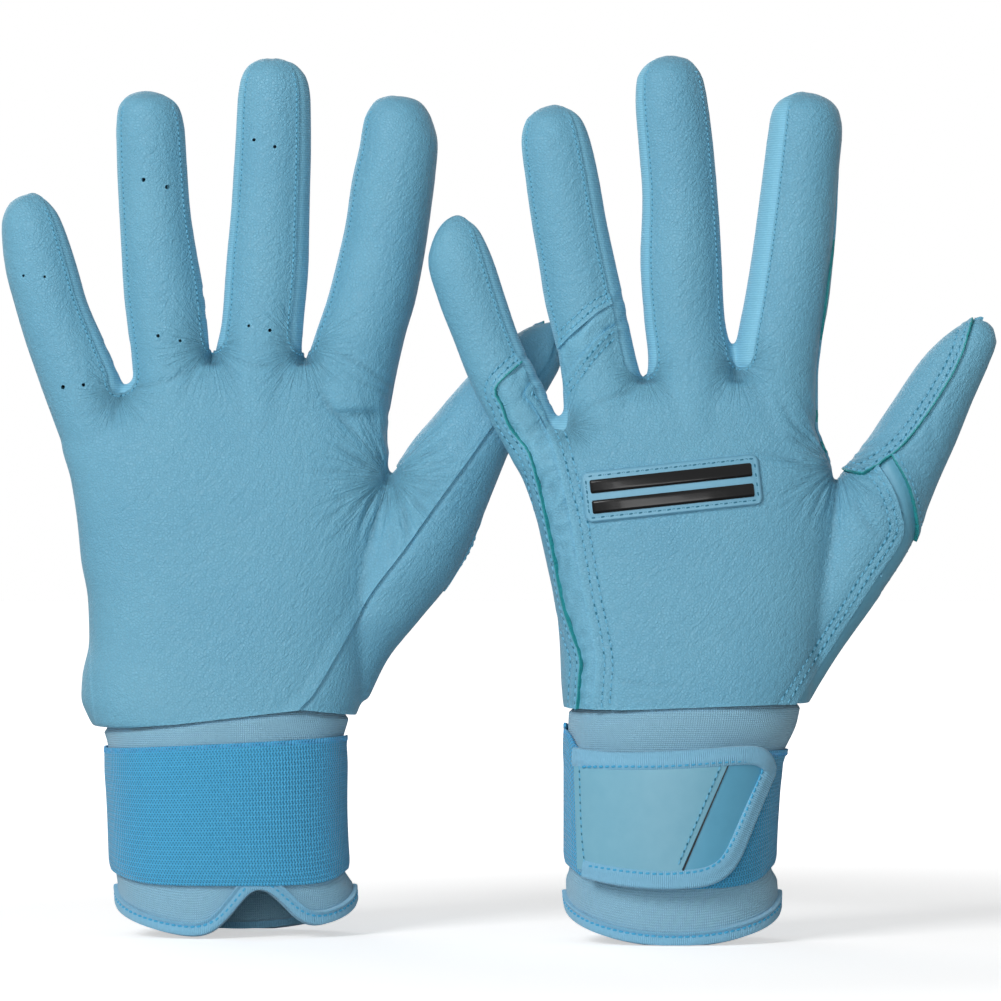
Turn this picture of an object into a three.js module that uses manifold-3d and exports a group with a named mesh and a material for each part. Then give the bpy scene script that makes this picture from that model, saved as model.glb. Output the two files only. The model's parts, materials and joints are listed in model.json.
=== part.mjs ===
// A pair of leather batting gloves, filled as if worn and standing on their cuffs.
// The left glove shows the back of its hand towards -Y, the right glove its palm.
// Each glove is a hollow hand of sewn leather pieces over a stretch cuff, with an elastic
// band round the wrist and a hook-and-loop tab that swings about its sewn root.

import * as THREE from 'three';
import { mergeVertices } from 'three/addons/utils/BufferGeometryUtils.js';
import Module from 'manifold-3d';

const wasm = await Module();
wasm.setup();

// Driving sizes, in millimetres
const HAND_LENGTH = 188; // wrist seam to the tip of the middle finger
const LEATHER = 1.5;
const CUFF_WALL = 2.2;
const BAND_WALL = 1.4;
const PATCH_WALL = 0.9; // loop patch, hook patch and the folded tape at the tab's root
const TAB_WALL = 1.7;
const TAB_EDGE = 4.3; // width of the binding that runs round the tab
const TAB_EDGE_RISE = 0.5; // how far that binding stands above the tab's leather
const HEM_TAPE = 4.2; // height of the binding at the cuff's lower edge
const HEM_RISE = 0.7; // how far the hem binding stands proud of the cuff, inside and out
const HEM_BELOW_BAND = 8.3; // from the elastic band down to the hem at the cuff's sides
const NOTCH_BELOW_BAND = 0.6; // from the band down to the binding at the top of the palm's notch
const HEM_BACK_DIP = 10.4; // how far the hem hangs lower at the middle of the back
const HEM_PALM_DIP = 13; // the same for the palm's two lobes, before the notch is cut
const BADGE_WALL = 1.2;
const BAR_WALL = 0.6;
const CLEARANCE = 0.3; // gap between two pieces that touch
const SIDE_STRIP = 5.6; // width of the side strips between the fingers
const PAIR_DEPTH = 27; // how far the right glove stands behind the left one
const VIEW_DISTANCE = 1800; // from the camera of the photograph to the left glove
const FOOT_CUT = 0.5; // the hems are cut flat by this much where the pair stands
const OVERRUN = 40; // how far a cutting solid runs on past what it cuts
const FAR = 2 * HAND_LENGTH; // beyond the whole part

// Sections: half depths over half widths, and how square the ovals are
const FINGER_DEPTH_SHARE = 0.86;
const THUMB_DEPTH_SHARE = 0.8;
const PALM_SQUARENESS_SHARE = 2.5;
const CUFF_SQUARENESS_SHARE = 2.2;
const NOTCH_PLACE_SHARE = 0.59;
const NOTCH_WIDTH_SHARE = 0.13;

// Half depths of the hand, in millimetres, from the wrist up to the crotches of the fingers
const WRIST_DEPTH = 22;
const HEEL_DEPTH = 20;
const PALM_DEPTH = 18;
const UPPER_PALM_DEPTH = 16;
const KNUCKLE_DEPTH = 13.5;
const CROTCH_DEPTH = 11.5;
const WEB_DEPTH = 9;
const CUFF_DEPTH = 22.5;

// Counts
const FINGER_SIDES = 10;
const PALM_SIDES = 18;
const HEM_STEPS = 10;
const TAB_CORNER_STEPS = 4;
const BADGE_CORNER_STEPS = 2;
const DOME_ANGLES_DEG = [50];

// The photograph, in pixels of its 1001 by 1001 frame
const FRAME_MIDDLE_PX = 500.5;
const HAND_PX = 659;
const UNIT = HAND_LENGTH / HAND_PX;
const RIGHT_SHIFT_PX = 400; // from a place on the right glove to its like on the left
const RIGHT_SHEAR_SHARE = 0.085;
const RIGHT_BAND_RISE_PX = 5; // the right glove's band lies this much higher
const LEFT_WRIST_PX = 716;
const RIGHT_WRIST_PX = 728;

// Stations of a finger are [x, y, width], from inside the palm to where its dome starts.
// Levels of the palm are [y, left, right, half depth], and so are those of the cuff.
const LEFT_STALLS_PX = {
  pinky: { dome: 37, at: [[570, 485, 88], [520, 412, 80], [480, 320, 67], [459, 252, 62]] },
  ring: { dome: 30, at: [[618, 430, 86], [596, 350, 83], [572, 235, 74], [554, 136, 67]] },
  middle: { dome: 32, at: [[684, 420, 86], [681, 290, 81], [678, 180, 76], [670, 88, 69]] },
  index: { dome: 31, at: [[770, 420, 90], [786, 305, 85], [799, 185, 77], [806, 123, 71]] },
  thumb: {
    dome: 38,
    at: [[749, 700, 116], [788, 625, 122], [842, 553, 114], [880, 498, 106], [912, 440, 80], [960, 353, 64]],
  },
};
const LEFT_PALM_PX = [
  [LEFT_WRIST_PX, 566, 798, WRIST_DEPTH], [640, 559, 822, HEEL_DEPTH], [560, 547, 832, PALM_DEPTH],
  [480, 523, 824, UPPER_PALM_DEPTH], [445, 512, 818, KNUCKLE_DEPTH], [400, 578, 815, CROTCH_DEPTH],
  [382, 598, 800, WEB_DEPTH],
];
const LEFT_CUFF_PX = [
  [LEFT_WRIST_PX, 566, 797, CUFF_DEPTH], [770, 563, 784, CUFF_DEPTH], [865, 564, 776, CUFF_DEPTH],
  [960, 567, 780, CUFF_DEPTH],
];
const LEFT = {
  name: 'left',
  back: -1,
  depth: 0,
  stalls: LEFT_STALLS_PX,
  palm: LEFT_PALM_PX,
  cuff: LEFT_CUFF_PX,
};

const RIGHT_STALLS_PX = {
  pinky: { dome: 33, at: [[112, 470, 90], [83, 392, 78], [50, 295, 69], [35, 226, 61]] },
  ring: { dome: 32, at: [[180, 400, 88], [166, 305, 81], [154, 195, 71], [150, 124, 65]] },
  middle: { dome: 33, at: [[262, 400, 92], [266, 290, 82], [272, 183, 78], [274, 92, 71]] },
  index: { dome: 32, at: [[345, 400, 92], [372, 295, 88], [392, 200, 82], [399, 128, 71]] },
  thumb: {
    dome: 40,
    at: [[304, 700, 112], [342, 627, 121], [394, 562, 116], [430, 508, 108], [466, 441, 80], [520, 361, 66]],
  },
};
const RIGHT_PALM_PX = [
  [RIGHT_WRIST_PX, 95, 347, WRIST_DEPTH], [690, 81, 356, WRIST_DEPTH], [640, 91, 369, HEEL_DEPTH],
  [560, 82, 382, PALM_DEPTH], [490, 73, 384, UPPER_PALM_DEPTH], [440, 61, 387, KNUCKLE_DEPTH],
  [392, 115, 391, CROTCH_DEPTH], [364, 152, 396, WEB_DEPTH],
];
const RIGHT_CUFF_PX = [
  [RIGHT_WRIST_PX, 98, 346, CUFF_DEPTH], [780, 107, 345, CUFF_DEPTH], [865, 111, 350, CUFF_DEPTH],
  [960, 118, 356, CUFF_DEPTH],
];
const RIGHT = {
  name: 'right',
  back: 1,
  depth: PAIR_DEPTH,
  stalls: RIGHT_STALLS_PX,
  palm: RIGHT_PALM_PX,
  cuff: RIGHT_CUFF_PX,
};

// Seams of the back, read on the left glove
const PINKY_SEAM_PX = [
  [540, 345], [523, 361], [497, 387], [508, 420], [531, 453], [540, 486], [548, 520], [563, 600], [581, 657], [577, 735],
];
const INSERT_SEAM_PX = [
  [549, 372], [525, 390], [542, 422], [553, 445], [563, 486], [571, 520], [585, 600], [597, 665], [592, 735],
];
const RING_UPPER_SEAM_PX = [[551, 362], [559, 350], [583, 325], [610, 305], [634, 289]];
const RING_LOWER_SEAM_PX = [[557, 386], [571, 373], [593, 343], [616, 325], [638, 309]];
const THUMB_SEAM_PX = [[877, 466], [890, 488], [899, 514], [900, 540], [793, 699], [780, 735]];
const GUSSET_SEAM_PX = [[893, 453], [904, 483], [912, 512], [914, 538], [930, 575]];
const OVERLAY_SEAM_PX = [
  [826, 455], [837, 467], [856, 476], [878, 465], [897, 450], [926, 414], [952, 373], [969, 331], [990, 285],
];
// Seam of the palm between hand and thumb, read on the right glove
const PALM_SEAM_PX = [
  [288, 745], [300, 709], [314, 693], [339, 651], [370, 596], [406, 548], [446, 491], [493, 425], [530, 379],
  [548, 350], [562, 300],
];

// What closes each piece's outline beyond its seams, also read on the left glove
const PINKY_AREA_PX = [[400, 735], [380, 100], [505, 100], [512, 250]];
const RING_AREA_PX = [[630, 250], [622, 40], [505, 40], [512, 250], [540, 345]];
const BACK_AREA_PX = [[628, 250], [622, 20], [880, 20], [860, 300]];
const GUSSET_AREA_PX = [[980, 735], [980, 600]];
const THUMB_BACK_AREA_PX = [[1100, 300], [1100, 600]];
const OVERLAY_AREA_PX = [[930, 250], [840, 300]];
const PALM_AREA_PX = [[960, 20], [300, 20], [300, 735]];
const THUMB_PALM_AREA_PX = [[1100, 285], [1100, 745]];
const PINKY_FOOT_PX = { inward: 60, y: 760 };

// Places on the left cuff, in pixels
const CUFF_LEFT_PX = 564;
const CUFF_RIGHT_PX = 782;
const BAND_TOP_PX = 748;
const BAND_BOTTOM_PX = 876;
const TAB_PX = { root: 573, top: 755, topRight: 773, rise: 11, bottomRight: 727, bottom: 887, corner: 13 };
const INLAY_LINE_PX = [[732, 735], [676, 900]];
const INLAY_SIDE_PX = [[820, 900], [820, 735]];
const WINDOW_PX = [592, 664];
const WINDOW_HEIGHT_PX = [728, 896];
const ROOT_TAPE_PX = [574, 589];
const LOOP_PX = [668, 752];
const HOOK_PX = [646, 728];
const PATCH_HEIGHT_PX = [768, 872];

// The badge on the back of the hand: its middle in pixels, its sizes in millimetres
const BADGE_PX = [673, 486];
const BADGE_SLOPE_DEG = 6.3;
const BADGE = { length: 49.5, height: 12.6, corner: 1.5 };
const BAR = { length: 46, height: 3.5, pitch: 5.8 };

const COLOURS = {
  leather: { color: 0x7fb4ca, roughness: 0.62 },
  strip: { color: 0x5fa8d3, roughness: 0.7 },
  cuff: { color: 0x86b2c9, roughness: 0.9 },
  elastic: { color: 0x4a9aca, roughness: 0.85 },
  tape: { color: 0x78b6d6, roughness: 0.85 },
  inlay: { color: 0x5ca1c0, roughness: 0.55 },
  loop: { color: 0x6ba7c6, roughness: 1 },
  hook: { color: 0x4d8fb3, roughness: 0.8 },
  black: { color: 0x111519, roughness: 0.25 },
};

// Solids

function solidOf(positions, faces) {
  let volume = 0;
  const corner = [new THREE.Vector3(), new THREE.Vector3(), new THREE.Vector3()];
  for (let i = 0; i < faces.length; i += 3) {
    corner.forEach((c, k) => c.fromArray(positions, 3 * faces[i + k]));
    volume += corner[0].dot(corner[1].cross(corner[2]));
  }
  const outward = [...faces];
  if (volume < 0) outward.reverse();
  return new wasm.Manifold(new wasm.Mesh({
    numProp: 3,
    vertProperties: new Float32Array(positions),
    triVerts: new Uint32Array(outward),
  }));
}

function solidFromGeometry(geometry) {
  const bare = geometry.clone();
  bare.deleteAttribute('normal');
  bare.deleteAttribute('uv');
  const merged = mergeVertices(bare);
  return solidOf(Array.from(merged.attributes.position.array), Array.from(merged.index.array));
}

// A closed skin over rings of equal count, with a point at each end.
function skin(rings, start, end) {
  const sides = rings[0].length;
  const positions = [start, ...rings.flat(), end].flatMap((p) => [p.x, p.y, p.z]);
  const last = 1 + rings.length * sides;
  const faces = [];
  for (let k = 0; k < sides; k++) {
    const next = (k + 1) % sides;
    faces.push(0, 1 + next, 1 + k);
    for (let r = 0; r + 1 < rings.length; r++) {
      const a = 1 + r * sides;
      const b = a + sides;
      faces.push(a + k, a + next, b + k, b + k, a + next, b + next);
    }
    faces.push(last, last - sides + k, last - sides + next);
  }
  return solidOf(positions, faces);
}

function oval(centre, across, halfWidth, halfDepth, sides, squareness) {
  const ring = [];
  for (let k = 0; k < sides; k++) {
    const turn = (2 * Math.PI * (k + 0.5)) / sides;
    const u = Math.sign(Math.cos(turn)) * Math.abs(Math.cos(turn)) ** (2 / squareness);
    const v = Math.sign(Math.sin(turn)) * Math.abs(Math.sin(turn)) ** (2 / squareness);
    ring.push(new THREE.Vector3(
      centre.x + across.x * halfWidth * u,
      halfDepth * v,
      centre.y + across.y * halfWidth * u,
    ));
  }
  return ring;
}

function join(solids) {
  return solids.reduce((all, one) => all.add(one));
}

function makeGlove(hand) {
  const unit = UNIT * (1 + hand.depth / VIEW_DISTANCE);
  const isLeft = hand === LEFT;
  const place = ([x, y]) => new THREE.Vector2((x - FRAME_MIDDLE_PX) * unit, (FRAME_MIDDLE_PX - y) * unit);
  const shift = (y) => RIGHT_SHIFT_PX + RIGHT_SHEAR_SHARE * y;
  const fromLeft = (points) => points.map(([x, y]) => place(isLeft ? [x, y] : [x - shift(y), y]));
  const fromRight = (points) => points.map(([x, y]) => place(isLeft ? [x + shift(y), y] : [x, y]));

  // A finger or the thumb, with its skin moved in by inset.
  function stall({ at, dome }, depthShare, inset) {
    const points = at.map(place);
    const rings = points.map((point, i) => {
      const along = points[Math.min(i + 1, points.length - 1)].clone().sub(points[Math.max(i - 1, 0)]).normalize();
      const half = (at[i][2] * unit) / 2;
      return oval(point, new THREE.Vector2(along.y, -along.x), half - inset, half * depthShare - inset, FINGER_SIDES, 2);
    });
    const last = points.length - 1;
    const along = points[last].clone().sub(points[last - 1]).normalize();
    const across = new THREE.Vector2(along.y, -along.x);
    const half = (at[last][2] * unit) / 2;
    const reach = dome * unit - inset;
    for (const angle of DOME_ANGLES_DEG) {
      const turn = THREE.MathUtils.degToRad(angle);
      const centre = points[last].clone().addScaledVector(along, reach * Math.sin(turn));
      const width = (half - inset) * Math.cos(turn);
      const depth = (half * depthShare - inset) * Math.cos(turn);
      rings.push(oval(centre, across, width, depth, FINGER_SIDES, 2));
    }
    const tip = points[last].clone().addScaledVector(along, reach);
    return skin(rings, new THREE.Vector3(points[0].x, 0, points[0].y), new THREE.Vector3(tip.x, 0, tip.y));
  }

  // A stack of level ovals, with its skin moved out by outset and its ends by more.
  function stack(levels, outset, below, above, squareness) {
    const rings = levels.map(([y, left, right, depth], i) => {
      const a = place([left, y]);
      const b = place([right, y]);
      const end = i === 0 ? below : i === levels.length - 1 ? above : 0;
      const middle = new THREE.Vector2((a.x + b.x) / 2, a.y + end);
      return oval(middle, new THREE.Vector2(1, 0), (b.x - a.x) / 2 + outset, depth + outset, PALM_SIDES, squareness);
    });
    const centreOf = (ring) => ring.reduce((s, p) => s.add(p), new THREE.Vector3()).divideScalar(ring.length);
    return skin(rings, centreOf(rings[0]), centreOf(rings[rings.length - 1]));
  }

  // A prism over an outline in the view's plane. Depths count from the middle, palm positive.
  function prism(outline, near, far) {
    const shape = new THREE.Shape(outline);
    const [low, high] = hand.back < 0 ? [near, far] : [-far, -near];
    const geometry = new THREE.ExtrudeGeometry(shape, { depth: high - low, bevelEnabled: false });
    geometry.rotateX(Math.PI / 2);
    geometry.translate(0, high, 0);
    return solidFromGeometry(geometry);
  }

  // The narrow slot that a seam leaves between two pieces.
  function slot(line, near, far) {
    const left = [];
    const right = [];
    line.forEach((point, i) => {
      const along = line[Math.min(i + 1, line.length - 1)].clone().sub(line[Math.max(i - 1, 0)]).normalize();
      left.push(point.clone().add(new THREE.Vector2(-along.y, along.x).multiplyScalar(CLEARANCE / 2)));
      right.unshift(point.clone().sub(new THREE.Vector2(-along.y, along.x).multiplyScalar(CLEARANCE / 2)));
    });
    return prism([...left, ...right], near, far);
  }

  const depthShareOf = (key) => (key === 'thumb' ? THUMB_DEPTH_SHARE : FINGER_DEPTH_SHARE);
  const handSkin = (inset, below) => join([
    stack(hand.palm, -inset, below, -inset, PALM_SQUARENESS_SHARE),
    ...Object.entries(hand.stalls).map(([key, one]) => stall(one, depthShareOf(key), inset)),
  ]);
  const wristZ = place([0, hand.palm[0][0]]).y;
  const outline = (low, high) => [[-FAR, low], [FAR, low], [FAR, high], [-FAR, high]]
    .map(([x, z]) => new THREE.Vector2(x, z));
  const upper = prism(outline(wristZ, FAR), -FAR, FAR);
  const shell = handSkin(0, 0).subtract(handSkin(LEATHER, -OVERRUN)).intersect(upper);

  // Back pieces lie beyond the side strips, palm pieces on the other side of them.
  const strip = SIDE_STRIP / 2;
  const backHalf = [-FAR, -strip];
  const palmHalf = [strip, FAR];
  const seams = {
    pinky: fromLeft(PINKY_SEAM_PX),
    insert: fromLeft(INSERT_SEAM_PX),
    ringUpper: fromLeft(RING_UPPER_SEAM_PX),
    ringLower: fromLeft(RING_LOWER_SEAM_PX),
    thumb: fromLeft(THUMB_SEAM_PX),
    gusset: fromLeft(GUSSET_SEAM_PX),
    overlay: fromLeft(OVERLAY_SEAM_PX),
    palm: fromRight(PALM_SEAM_PX),
  };
  const { palm: palmSeam, ...backSeams } = seams;
  const slotted = shell.subtract(join([
    ...Object.values(backSeams).map((line) => slot(line, ...backHalf)),
    slot(palmSeam, -strip, FAR),
  ]));
  const middleOf = (key) => {
    const points = hand.stalls[key].at.map(place);
    const [before, last] = points.slice(-2);
    const beyond = last.clone().add(last.clone().sub(before).setLength(OVERRUN));
    return [...points, beyond];
  };
  const fingers = ['pinky', 'ring', 'middle', 'index'];
  const tipSlots = join(fingers.map((key) => slot(middleOf(key), -FAR, FAR)));
  const between = (a, b) => [...middleOf(a), ...middleOf(b).reverse()];
  const low = new THREE.Vector2(0, -FAR);
  const strips = slotted.subtract(tipSlots);
  const stripRange = [-strip + CLEARANCE, strip - CLEARANCE];

  const pieces = {};
  const put = (name, solid, colour) => {
    pieces[name] = { solid, colour };
  };

  const farLeft = [new THREE.Vector2(-FAR, FAR), new THREE.Vector2(-FAR, -FAR)];
  const farRight = [new THREE.Vector2(FAR, FAR), new THREE.Vector2(FAR, -FAR)];
  const pinkyFoot = place([hand.palm[0][1] + PINKY_FOOT_PX.inward, PINKY_FOOT_PX.y]);
  const outerPinky = [...middleOf('pinky'), ...farLeft, pinkyFoot];
  const innerThumb = [...middleOf('index'), ...[...palmSeam].reverse()];
  const outerThumb = [...palmSeam, ...farRight, low];

  const pinkyArea = [...seams.pinky, ...fromLeft(PINKY_AREA_PX)];
  const insertArea = [...[...seams.pinky].reverse(), ...seams.insert];
  const ringArea = [...seams.ringUpper, ...fromLeft(RING_AREA_PX)];
  const ringFlexArea = [...seams.ringUpper, ...[...seams.ringLower].reverse()];
  const backArea = [
    ...[...seams.insert].reverse(), ...seams.ringLower, ...fromLeft(BACK_AREA_PX),
    ...seams.overlay.slice(0, 4), ...seams.thumb,
  ];
  const gussetArea = [...seams.thumb, ...fromLeft(GUSSET_AREA_PX), ...[...seams.gusset].reverse()];
  const thumbBackArea = [
    ...seams.overlay.slice(4), ...fromLeft(THUMB_BACK_AREA_PX), ...[...seams.gusset].reverse(),
  ];
  const overlayArea = [...seams.overlay, ...fromLeft(OVERLAY_AREA_PX)];
  const palmArea = [...seams.palm, ...fromLeft(PALM_AREA_PX)];
  const thumbPalmArea = [...seams.palm, ...fromLeft(THUMB_PALM_AREA_PX)];

  put('pinky_back', slotted.intersect(prism(pinkyArea, ...backHalf))
    .add(strips.intersect(prism(outerPinky, -strip - CLEARANCE, strip - CLEARANCE))), 'leather');
  put('side_flex_insert', slotted.intersect(prism(insertArea, ...backHalf)), 'leather');
  put('ring_back', slotted.intersect(prism(ringArea, ...backHalf)), 'leather');
  put('ring_flex_insert', slotted.intersect(prism(ringFlexArea, ...backHalf)), 'leather');
  put('back_leather', slotted.intersect(prism(backArea, ...backHalf)), 'leather');
  put('thumb_gusset', slotted.intersect(prism(gussetArea, ...backHalf)), 'strip');
  put('thumb_back', slotted.intersect(prism(thumbBackArea, ...backHalf)), 'leather');
  put('thumb_overlay', slotted.intersect(prism(overlayArea, ...backHalf)), 'leather');
  put('palm_leather', slotted.intersect(prism(palmArea, ...palmHalf))
    .add(strips.intersect(prism(innerThumb, -strip + CLEARANCE, strip + CLEARANCE))), 'leather');
  put('thumb_palm', slotted.intersect(prism(thumbPalmArea, ...palmHalf))
    .add(strips.intersect(prism(outerThumb, -strip + CLEARANCE, strip + CLEARANCE))), 'leather');
  put('fourchette_pinky_ring', strips.intersect(prism(between('pinky', 'ring'), ...stripRange)), 'strip');
  put('fourchette_ring_middle', strips.intersect(prism(between('ring', 'middle'), ...stripRange)), 'strip');
  put('fourchette_middle_index', strips.intersect(prism(between('middle', 'index'), ...stripRange)), 'strip');

  // The badge: a plate that follows the back of the hand, with two gloss bars on it.
  const handAt = (outset) => stack(hand.palm, outset, 0, 0, PALM_SQUARENESS_SHARE);
  function badgePlate(length, height, offset, radius) {
    const slope = THREE.MathUtils.degToRad(BADGE_SLOPE_DEG);
    const [middle] = fromLeft([BADGE_PX]);
    const turn = (u, v) => new THREE.Vector2(
      middle.x + u * Math.cos(slope) - v * Math.sin(slope),
      middle.y + u * Math.sin(slope) + v * Math.cos(slope),
    );
    const points = [];
    for (const [sx, sy, start] of [[1, 1, 0], [-1, 1, 1], [-1, -1, 2], [1, -1, 3]]) {
      for (let k = 0; k <= BADGE_CORNER_STEPS; k++) {
        const angle = ((start + k / BADGE_CORNER_STEPS) * Math.PI) / 2;
        points.push(turn(
          sx * (length / 2 - radius) + radius * Math.cos(angle),
          offset + sy * (height / 2 - radius) + radius * Math.sin(angle),
        ));
      }
    }
    return points;
  }
  const layer = (at, low, high) => at(high).subtract(at(low));
  const badgeFloor = CLEARANCE;
  const badgeTop = badgeFloor + BADGE_WALL;
  put('badge_base', layer(handAt, badgeFloor, badgeTop)
    .intersect(prism(badgePlate(BADGE.length, BADGE.height, 0, BADGE.corner), ...backHalf)), 'strip');
  for (const [name, side] of [['badge_bar_upper', 1], ['badge_bar_lower', -1]]) {
    const bar = badgePlate(BAR.length, BAR.height, (side * BAR.pitch) / 2, CLEARANCE);
    put(name, layer(handAt, badgeTop + CLEARANCE, badgeTop + CLEARANCE + BAR_WALL)
      .intersect(prism(bar, ...backHalf)), 'black');
  }

  // The cuff, its hem binding and the elastic band
  const cuffAt = (outset) => stack(hand.cuff, outset, -CLEARANCE, 0, CUFF_SQUARENESS_SHARE);
  const cuffOpen = (outset) => stack(hand.cuff, outset, OVERRUN, -OVERRUN, CUFF_SQUARENESS_SHARE);
  const [, cuffLeftPx, cuffRightPx] = hand.cuff.at(-2);
  const hemLeft = place([cuffLeftPx, 0]).x;
  const hemWidth = (cuffRightPx - cuffLeftPx) * unit;
  // Both gloves stand on one floor, so both hems take their level from the left glove's band.
  const hemLevel = (FRAME_MIDDLE_PX - BAND_BOTTOM_PX) * UNIT - HEM_BELOW_BAND;
  const archAt = (share) => Math.sin(Math.PI * share);
  const notchDepth = HEM_PALM_DIP * archAt(NOTCH_PLACE_SHARE) + HEM_BELOW_BAND - HEM_TAPE - NOTCH_BELOW_BAND;
  function below(rise) {
    const backLine = [];
    const palmLine = [];
    for (let k = 0; k <= HEM_STEPS; k++) {
      const share = k / HEM_STEPS;
      const notch = notchDepth * Math.exp(-(((share - NOTCH_PLACE_SHARE) / NOTCH_WIDTH_SHARE) ** 2));
      const x = hemLeft + hemWidth * share;
      backLine.push(new THREE.Vector2(x, hemLevel + rise - HEM_BACK_DIP * archAt(share)));
      palmLine.push(new THREE.Vector2(x, hemLevel + rise - HEM_PALM_DIP * archAt(share) + notch));
    }
    const closed = (line) => [
      new THREE.Vector2(-FAR, -FAR), new THREE.Vector2(-FAR, line[0].y), ...line,
      new THREE.Vector2(FAR, line.at(-1).y), new THREE.Vector2(FAR, -FAR),
    ];
    return prism(closed(backLine), -FAR, CLEARANCE).add(prism(closed(palmLine), 0, FAR));
  }
  const sleeve = cuffAt(0).subtract(cuffOpen(-CUFF_WALL));
  put('cuff_sleeve', sleeve.subtract(below(HEM_TAPE + CLEARANCE)), 'cuff');
  const hemBand = cuffAt(HEM_RISE).subtract(cuffOpen(-CUFF_WALL - HEM_RISE));
  const footLevel = hemLevel - HEM_BACK_DIP + FOOT_CUT;
  put('hem_binding', hemBand.intersect(below(HEM_TAPE)).subtract(below(0))
    .intersect(prism(outline(footLevel, FAR), -FAR, FAR)), 'tape');

  const across = (x) => {
    const share = (x - CUFF_LEFT_PX) / (CUFF_RIGHT_PX - CUFF_LEFT_PX);
    const [, left, right] = hand.cuff[2];
    return isLeft ? x : left + share * (right - left);
  };
  const down = (y) => (isLeft ? y : y - RIGHT_BAND_RISE_PX);
  const onCuff = (x, y) => place([across(x), down(y)]);
  const box = ([left, right], [top, bottom]) => [[left, top], [right, top], [right, bottom], [left, bottom]]
    .map(([x, y]) => onCuff(x, y));
  const bandHeight = prism(outline(onCuff(0, BAND_BOTTOM_PX).y, onCuff(0, BAND_TOP_PX).y), -FAR, FAR);
  const bandTop = CLEARANCE + BAND_WALL;
  const window = prism(box(WINDOW_PX, WINDOW_HEIGHT_PX), ...backHalf);
  put('elastic_band', layer(cuffAt, CLEARANCE, bandTop).intersect(bandHeight).subtract(window), 'elastic');

  // What lies on the band, from the inside out: loop patch, hook patch, tab.
  const loopFloor = bandTop + CLEARANCE;
  const loopTop = loopFloor + PATCH_WALL;
  const hookFloor = loopTop + CLEARANCE;
  const hookTop = hookFloor + PATCH_WALL;
  const tabFloor = hookTop + CLEARANCE;
  const tabTop = tabFloor + TAB_WALL;
  const patch = (span, low, high) => layer(cuffAt, low, high).intersect(prism(box(span, PATCH_HEIGHT_PX), ...backHalf));
  put('loop_patch', patch(LOOP_PX, loopFloor, loopTop), 'loop');
  put('tab_root_tape', patch(ROOT_TAPE_PX, loopFloor, hookTop), 'tape');
  put('hook_patch', patch(HOOK_PX, hookFloor, hookTop), 'hook');

  function tabOutline(inset) {
    const corners = [
      onCuff(TAB_PX.root, TAB_PX.bottom), onCuff(TAB_PX.bottomRight, TAB_PX.bottom),
      onCuff(TAB_PX.topRight, TAB_PX.top - TAB_PX.rise), onCuff(TAB_PX.root, TAB_PX.top),
    ];
    const moved = corners.map((p, i) => {
      const before = corners[(i + corners.length - 1) % corners.length];
      const after = corners[(i + 1) % corners.length];
      const a = p.clone().sub(before).normalize();
      const b = after.clone().sub(p).normalize();
      const sine = a.x * b.y - a.y * b.x;
      return p.clone().addScaledVector(b.sub(a), inset / sine);
    });
    const radius = Math.max(TAB_PX.corner * unit - inset / 2, LEATHER);
    const round = [1, 2];
    const points = [];
    moved.forEach((p, i) => {
      if (!round.includes(i)) {
        points.push(p);
        return;
      }
      const before = moved[(i + moved.length - 1) % moved.length];
      const after = moved[(i + 1) % moved.length];
      const a = p.clone().add(before.clone().sub(p).setLength(radius));
      const b = p.clone().add(after.clone().sub(p).setLength(radius));
      points.push(...new THREE.QuadraticBezierCurve(a, p, b).getPoints(TAB_CORNER_STEPS));
    });
    return points;
  }
  const whole = prism(tabOutline(0), ...backHalf);
  const inner = prism(tabOutline(TAB_EDGE), ...backHalf);
  const innerGap = prism(tabOutline(TAB_EDGE - CLEARANCE), ...backHalf);
  const tabLayer = layer(cuffAt, tabFloor, tabTop);
  const inlayLine = INLAY_LINE_PX.map(([x, y]) => onCuff(x, y));
  const inlaySlot = slot(inlayLine, ...backHalf);
  const face = tabLayer.intersect(inner).subtract(inlaySlot);
  const inlaySide = INLAY_SIDE_PX.map(([x, y]) => onCuff(x, y));
  const rightOf = prism([...inlayLine, ...inlaySide], ...backHalf);
  put('tab_leather', face.subtract(rightOf), 'leather');
  put('tab_inlay', face.intersect(rightOf), 'inlay');
  put('tab_binding', layer(cuffAt, tabFloor, tabTop + TAB_EDGE_RISE).intersect(whole).subtract(innerGap), 'tape');

  return pieces;
}

// Meshes

function meshOf(name, solid, colour) {
  const { vertProperties, triVerts, numProp } = solid.getMesh();
  const positions = [];
  for (let i = 0; i < vertProperties.length; i += numProp) positions.push(...vertProperties.slice(i, i + 3));
  const geometry = new THREE.BufferGeometry();
  geometry.setAttribute('position', new THREE.Float32BufferAttribute(positions, 3));
  geometry.setIndex(Array.from(triVerts));
  const flat = geometry.toNonIndexed();
  flat.computeVertexNormals();
  const mesh = new THREE.Mesh(flat, new THREE.MeshStandardMaterial({ ...COLOURS[colour], metalness: 0 }));
  mesh.name = name;
  return mesh;
}

const pair = new THREE.Group();
for (const hand of [LEFT, RIGHT]) {
  const glove = new THREE.Group();
  glove.position.y = hand.depth;
  for (const [name, piece] of Object.entries(makeGlove(hand))) {
    // A cut can leave crumbs where two seams meet, so the piece is the largest body of it.
    const [largest] = piece.solid.decompose().sort((a, b) => b.volume() - a.volume());
    glove.add(meshOf(`${hand.name}_${name}`, largest, piece.colour));
  }
  pair.add(glove);
}

const bounds = new THREE.Box3().setFromObject(pair);
const foot = new THREE.Vector3((bounds.min.x + bounds.max.x) / 2, (bounds.min.y + bounds.max.y) / 2, bounds.min.z);
const part = new THREE.Group();
pair.position.sub(foot);
part.add(pair);

export default part;
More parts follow.
